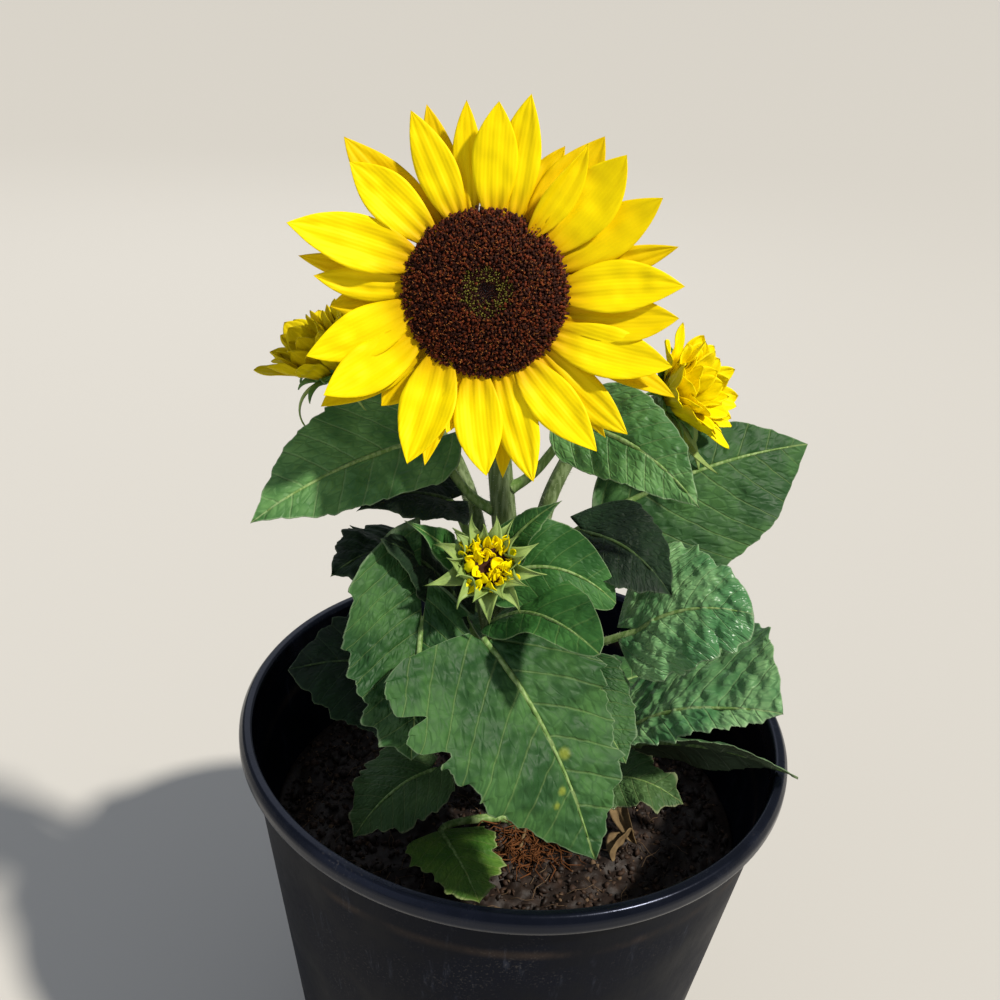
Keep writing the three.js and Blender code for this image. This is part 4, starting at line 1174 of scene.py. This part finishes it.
def front_bud():
    """Bud about to open: a star of pale pointed bracts round crumpled petals and a dark middle."""
    rng = np.random.default_rng(31)
    head = stem_head("bud_stem")
    items = []
    for angle, length, width, first, last in BUD_BRACTS:
        one = petal(length * 1.08, width * 1.25, (first, last), widest=0.2, point=1.1, claw=0.9, blunt=1.6,
                    cup=rng.uniform(0.3, 0.9), twist=rng.uniform(-70, 70), bend=rng.uniform(-50, 50),
                    ribs=0.25, crumple=1.0, rows=18, cols=9, thick=0.5, seed=angle + 400, paint=1)
        items.append(moved(one, *ray(head, angle, 9.0, 3.0 + first / 20)))
    for k in range(BUD_PETALS):
        out = 9.4 * np.sqrt(rng.uniform(0.08, 1))
        slope = 88 - 4.5 * out + rng.uniform(-18, 18)
        one = petal(rng.uniform(5, 8), rng.uniform(3, 5.2), (slope, slope + rng.uniform(-90, 120)),
                    widest=0.55, point=2.4, claw=0.6, cup=rng.uniform(0.3, 1.0), twist=rng.uniform(-110, 110),
                    bend=rng.uniform(-60, 60), crumple=0.8, tone=rng.uniform(0, 0.1), rows=14, cols=7, seed=k)
        items.append(moved(one, *ray(head, rng.uniform(0, 360), out, 7.6)))
    return items + cup_and_disc(head, [(0, -0.5), (3, 0), (7, 1.5), (9.5, 5), (9.6, 8), (8.6, 9.6)],
                                [(8.6, 9.2), (5, 9.4), (2.5, 9.4), (0, 9.3)])


build("front_bud", front_bud(), [SIDE_PETAL, BUD_BRACT, FLORET], "flower_bud", "front_bud")


# Pot and potting mix

def rounded(profile, radius):
    """The profile with each inner corner replaced by five points of a parabola of about the radius."""
    profile = np.asarray(profile, float)
    w = np.linspace(0, 1, 5)[:, None]
    result = [profile[0]]
    for before, corner, after in zip(profile, profile[1:], profile[2:]):
        a, b = before - corner, after - corner
        cut = min(radius, np.linalg.norm(a) * 0.45, np.linalg.norm(b) * 0.45)
        p, q = corner + unit(a) * cut, corner + unit(b) * cut
        result.extend((1 - w) ** 2 * p + 2 * w * (1 - w) * corner + w ** 2 * q)
    result.append(profile[-1])
    return np.array(result)


# Height of the rim's lower edge
RIM_FOOT = POT["height"] - POT["rim_height"]


def pot_section():
    """Closed section of the pot: up the tapered outer wall, round the rolled rim and down the inner wall."""
    height, base, neck, wall, floor = (POT[key] for key in ("height", "base", "neck", "wall", "floor"))
    rim, mouth = POT["rim_outer"], POT["rim_inner"]
    outside = [(0, 0), (base - 3, 0), (base, 3), (neck, RIM_FOOT)]
    roll = [(rim - 1, RIM_FOOT), (rim, RIM_FOOT + 2), (rim, height - 3), (rim - 2, height),
            (mouth + 1, height), (mouth, height - 2)]
    inside = [(neck - wall - 0.6, RIM_FOOT - 2), (base - wall, floor + 3), (base - wall - 3, floor),
              (0, floor)]
    return rounded(outside + roll + inside, 1.1)


def drain_pegs():
    """Pegs that cut the drain holes: rods square to the floor, evenly spaced on a ring."""
    radius, count = DRAIN["radius"], DRAIN["count"]
    peg = turned([(0, -4), (radius, -4), (radius, 8), (0, 8)], 24)
    angles = 2 * np.pi * (np.arange(count) + 0.5) / count
    return [moved(peg, (DRAIN["ring"] * np.cos(a), DRAIN["ring"] * np.sin(a), 0), np.eye(3)) for a in angles]


def make_pot():
    """Pot: one closed section turned about its axis, less the drain holes; the wall below the rim is matt."""
    piece = build("pot", turned(pot_section(), 192), [POT_RIM, POT_WALL], "pot_plastic", "pot")
    cutter = build("drain_cutter", drain_pegs(), [], "pot_plastic")
    for item in (piece, cutter):
        clean = item.modifiers.new("weld", "WELD")
        clean.merge_threshold = 0.01 * MM
    cut = piece.modifiers.new("drain", "BOOLEAN")
    cut.object = cutter
    cut.solver = "EXACT"
    shaped = bpy.data.meshes.new_from_object(piece.evaluated_get(bpy.context.evaluated_depsgraph_get()))
    piece.modifiers.clear()
    piece.data = shaped
    bpy.data.objects.remove(cutter)
    middles = np.empty(len(shaped.polygons) * 3)
    shaped.polygons.foreach_get("center", middles)
    low = middles.reshape(-1, 3)[:, 2] < (RIM_FOOT - 1) * MM
    shaped.polygons.foreach_set("material_index", low.astype(int))
    edges = piece.modifiers.new("edges", "WEIGHTED_NORMAL")
    edges.keep_sharp = True


make_pot()


def inner_radius(z):
    """Radius of the pot's inner wall at a height, less a small gap."""
    foot, head = POT["floor"] + 3, RIM_FOOT - 2
    low, high = POT["base"] - POT["wall"], POT["neck"] - POT["wall"] - 0.6
    return low + (high - low) * (z - foot) / (head - foot) - 0.5


# Radius of the mix where its top meets the wall
MIX_EDGE = inner_radius(SOIL["edge"])


def mix_height(x, y):
    """Height of the potting mix: a low mound that falls to the wall, lumpy at three sizes."""
    r = np.hypot(x, y)
    mound = np.interp(r, [0, SOIL["crown_radius"], SOIL["shoulder_radius"], SOIL["edge_radius"]],
                      [SOIL["crown"], SOIL["crown"], SOIL["shoulder"], SOIL["edge"]])
    lumps = 2.8 * noise(x / 17, y / 17, 61) + 1.9 * noise(x / 7, y / 7, 62) + 1.1 * noise(x / 3, y / 3, 63)
    return mound - 1.2 + lumps * np.clip((SOIL["edge_radius"] + 1 - r) / 12, 0.25, 1)


def scattered(rng, count, reach):
    """Places spread evenly over a disc of the given radius."""
    r = reach * np.sqrt(rng.uniform(0, 1, count))
    a = rng.uniform(0, 2 * np.pi, count)
    return r * np.cos(a), r * np.sin(a)


def on_mix(x, y, above):
    """Points that lie above the mix by a height."""
    return np.stack([x, y, mix_height(x, y) + above], axis=-1)


def lying(way, rise):
    """Three axes of a thread that lies on the mix: along its way in radians, level across it, and up."""
    first = unit(np.stack([np.cos(way), np.sin(way), rise], axis=-1))
    second = unit(np.cross(UP, first))
    return np.stack([first, second, np.cross(first, second)], axis=1)


def bed():
    """Body of the mix: a lumpy top on a polar grid, a side down the wall and a flat bottom."""
    sides, rows = 240, 100
    r = np.linspace(0, 1, rows)[:, None] * MIX_EDGE
    a = (np.arange(sides) * 2 * np.pi / sides)[None, :]
    low, waist = POT["floor"] + 0.5, 90
    foot = inner_radius(low + 5)
    rings = [np.stack([ring * np.cos(a), ring * np.sin(a), np.full(a.shape, z)], axis=-1)
             for ring, z in ((inner_radius(waist), waist), (foot, low + 5), (foot - 4, low), (0, low))]
    grid = np.concatenate([on_mix(r * np.cos(a), r * np.sin(a), 0)] + rings)[::-1]
    return shape(grid, [grid_faces(len(grid), sides, wrap=True)])


# Crumbs of the mix: how many, the smallest and largest in millimetres, and their material. Then how many
# pale fibres and strands of coir there are
CRUMBS = [(2600, 0.5, 1.5, 0), (1500, 0.7, 2.4, 1), (200, 0.6, 1.6, 2), (420, 1.4, 4.2, 0)]
FIBRES = 240
COIR = 130


def crumbs(rng):
    """Crumbs: lumps of eight faces that lie half sunk, each turned and stretched at random."""
    lump = shape([(1, 0, 0), (0, 1, 0), (-1, 0, 0), (0, -1, 0), (0, 0, 1), (0, 0, -1)],
                 [[(0, 1, 4), (1, 2, 4), (2, 3, 4), (3, 0, 4), (1, 0, 5), (2, 1, 5), (3, 2, 5), (0, 3, 5)]])
    items = []
    for count, smallest, largest, paint in CRUMBS:
        x, y = scattered(rng, count, MIX_EDGE - 3)
        size = rng.uniform(smallest, largest, count)
        first = unit(rng.normal(size=(count, 3)))
        second = unit(np.cross(first, rng.normal(size=(count, 3))))
        axes = np.stack([first, second, np.cross(first, second)], axis=1)
        sizes = size[:, None] * rng.uniform(0.35, 1.45, (count, 3))
        items.append(copies(lump, on_mix(x, y, 0.15 * size), axes, sizes, paint))
    return items


def fibres(rng):
    """Pale fibres: short bent threads that lie all over the mix."""
    thread = rings_along([[0, 0, 0], [0.3, 0.05, 0.03], [0.65, -0.04, 0.02], [1, 0.08, -0.02]], 0.011, 4)
    x, y = scattered(rng, FIBRES, MIX_EDGE - 14)
    axes = lying(rng.uniform(0, 2 * np.pi, FIBRES), 0.15 * rng.normal(size=FIBRES))
    return copies(thread, on_mix(x, y, 0.8), axes, rng.uniform(6, 17, (FIBRES, 1)), 2)


def coir_tuft(rng):
    """Coarse orange fibres gathered in a tuft before the stem's foot."""
    strand = rings_along([[0, 0, 0], [0.3, 0.12, 0.12], [0.65, -0.1, 0.1], [1, 0.12, -0.04]],
                         [0.03, 0.025, 0.02, 0.009], 5)
    x, y = 8 + 8 * rng.normal(size=COIR), -33 + 6 * rng.normal(size=COIR)
    axes = lying(rng.normal(-1.5, 1.1, COIR), 0.3 * rng.normal(size=COIR))
    return copies(strand, on_mix(x, y, rng.uniform(0, 3, COIR)), axes, rng.uniform(7, 16, (COIR, 1)), 3)


# Scraps of dead leaf: where each lies, its direction in degrees and its length
SCRAPS = [(54, -2, -70, 28), (60, -20, -120, 22), (-62, -60, 200, 20), (30, -86, 10, 16)]


def litter():
    """A dead stalk and crumpled scraps of dead leaf that lie on the mix."""
    path = smooth_path([[15, -8, 178], [13, -18, 183], [9, -30, 182], [7, -38, 178]], 20)
    items = [rings_along(path, np.linspace(1.2, 0.7, len(path)), 8, paint=4)]
    for k, (x, y, way, long) in enumerate(SCRAPS):
        one = petal(long, 9, (35, -45), widest=0.45, point=1.6, claw=0.3, cup=1.0, twist=90, bend=40,
                    crumple=2.2, rows=26, cols=15, thick=0.3, seed=600 + k, paint=4)
        first = np.array([np.cos(np.radians(way)), np.sin(np.radians(way)), 0.0])
        items.append(moved(one, on_mix(x, y, 1.5), (first, np.cross(UP, first), UP)))
    return items


def potting_mix():
    """Potting mix: its body with crumbs, fibres, a tuft of coir and litter on it."""
    rng = np.random.default_rng(17)
    return [bed(), *crumbs(rng), fibres(rng), coir_tuft(rng), *litter()]


build("soil", potting_mix(), [SOIL_DARK, SOIL_BROWN, SOIL_PALE, CROWN_FIBRE, WITHERED], "potting_mix", "soil")


# Camera, floor and light

# The photograph's view: where it was taken from, in degrees how far it looks down and rolls, and the lens in
# millimetres on film 36 mm wide
VIEW = dict(place=(-15, -420, 549), down=26.64, roll=4.6, lens=39.6)


def put(name, data, x, y, z, place):
    """Puts a camera or a light at a place in metres, with its own x, y and z along three directions."""
    item = bpy.data.objects.new(name, data)
    item.matrix_world = Matrix([*np.column_stack([x, y, z, place]).tolist(), (0, 0, 0, 1)])
    bpy.context.scene.collection.objects.link(item)
    return item


def make_camera():
    """Camera: looks along +Y and down, and is rolled about that direction."""
    down, roll = np.radians((VIEW["down"], VIEW["roll"]))
    ahead = np.array([0, np.cos(down), -np.sin(down)])
    right, up = np.array([1.0, 0, 0]), np.array([0, np.sin(down), np.cos(down)])
    x = np.cos(roll) * right + np.sin(roll) * up
    y = -np.sin(roll) * right + np.cos(roll) * up
    data = bpy.data.cameras.new("photo_view")
    data.lens, data.sensor_width = VIEW["lens"], 36.0
    data.clip_start = 0.02
    bpy.context.scene.camera = put("photo_view", data, x, y, -ahead, np.array(VIEW["place"]) * MM)


def make_floor():
    """Plain pale floor: one square of matt paint."""
    mesh = bpy.data.meshes.new("floor")
    half = 100.0
    corners = [(-half, -half, 0), (half, -half, 0), (half, half, 0), (-half, half, 0)]
    mesh.from_pydata(corners, [], [(0, 1, 2, 3)])
    floor = bpy.data.objects.new("floor", mesh)
    bpy.context.scene.collection.objects.link(floor)
    mesh.materials.append(material("floor_matt_paint", Base_Color=colour("#C9C6C0"), Roughness=0.9)[0])


def make_light(name, kind, toward, power, tint, wide):
    """A soft light 2.2 m from the plant's middle in the direction toward; wide is its size in metres, or in
    degrees for a distant one."""
    data = bpy.data.lights.new(name, kind)
    data.energy, data.color = power, colour(tint)[:3]
    if kind == "SUN":
        data.angle = np.radians(wide)
    else:
        data.size = wide
    z = unit(toward)
    x = unit(np.cross(UP, z))
    put(name, data, x, np.cross(z, x), z, 0.3 * UP + 2.2 * z)


def make_sky():
    """Even pale blue light from all round."""
    world = bpy.data.worlds.new("studio")
    world.use_nodes = True
    sky = world.node_tree.nodes["Background"]
    sky.inputs["Color"].default_value = colour("#DCE4F0")
    sky.inputs["Strength"].default_value = 0.32
    bpy.context.scene.world = world


make_camera()
make_floor()
make_light("key", "SUN", (0.56, -0.3, 0.77), 4.0, "#FFF9EE", 4)
make_light("fill", "AREA", (-0.7, -0.6, 0.45), 4, "#E6EEFF", 1.6)
make_light("back", "AREA", (-0.25, 0.85, 0.6), 5, "#F2F6FF", 1.4)
make_sky()
# Plain colour reproduction, so that a hex value comes out as it is written
bpy.context.scene.view_settings.view_transform = "Standard"
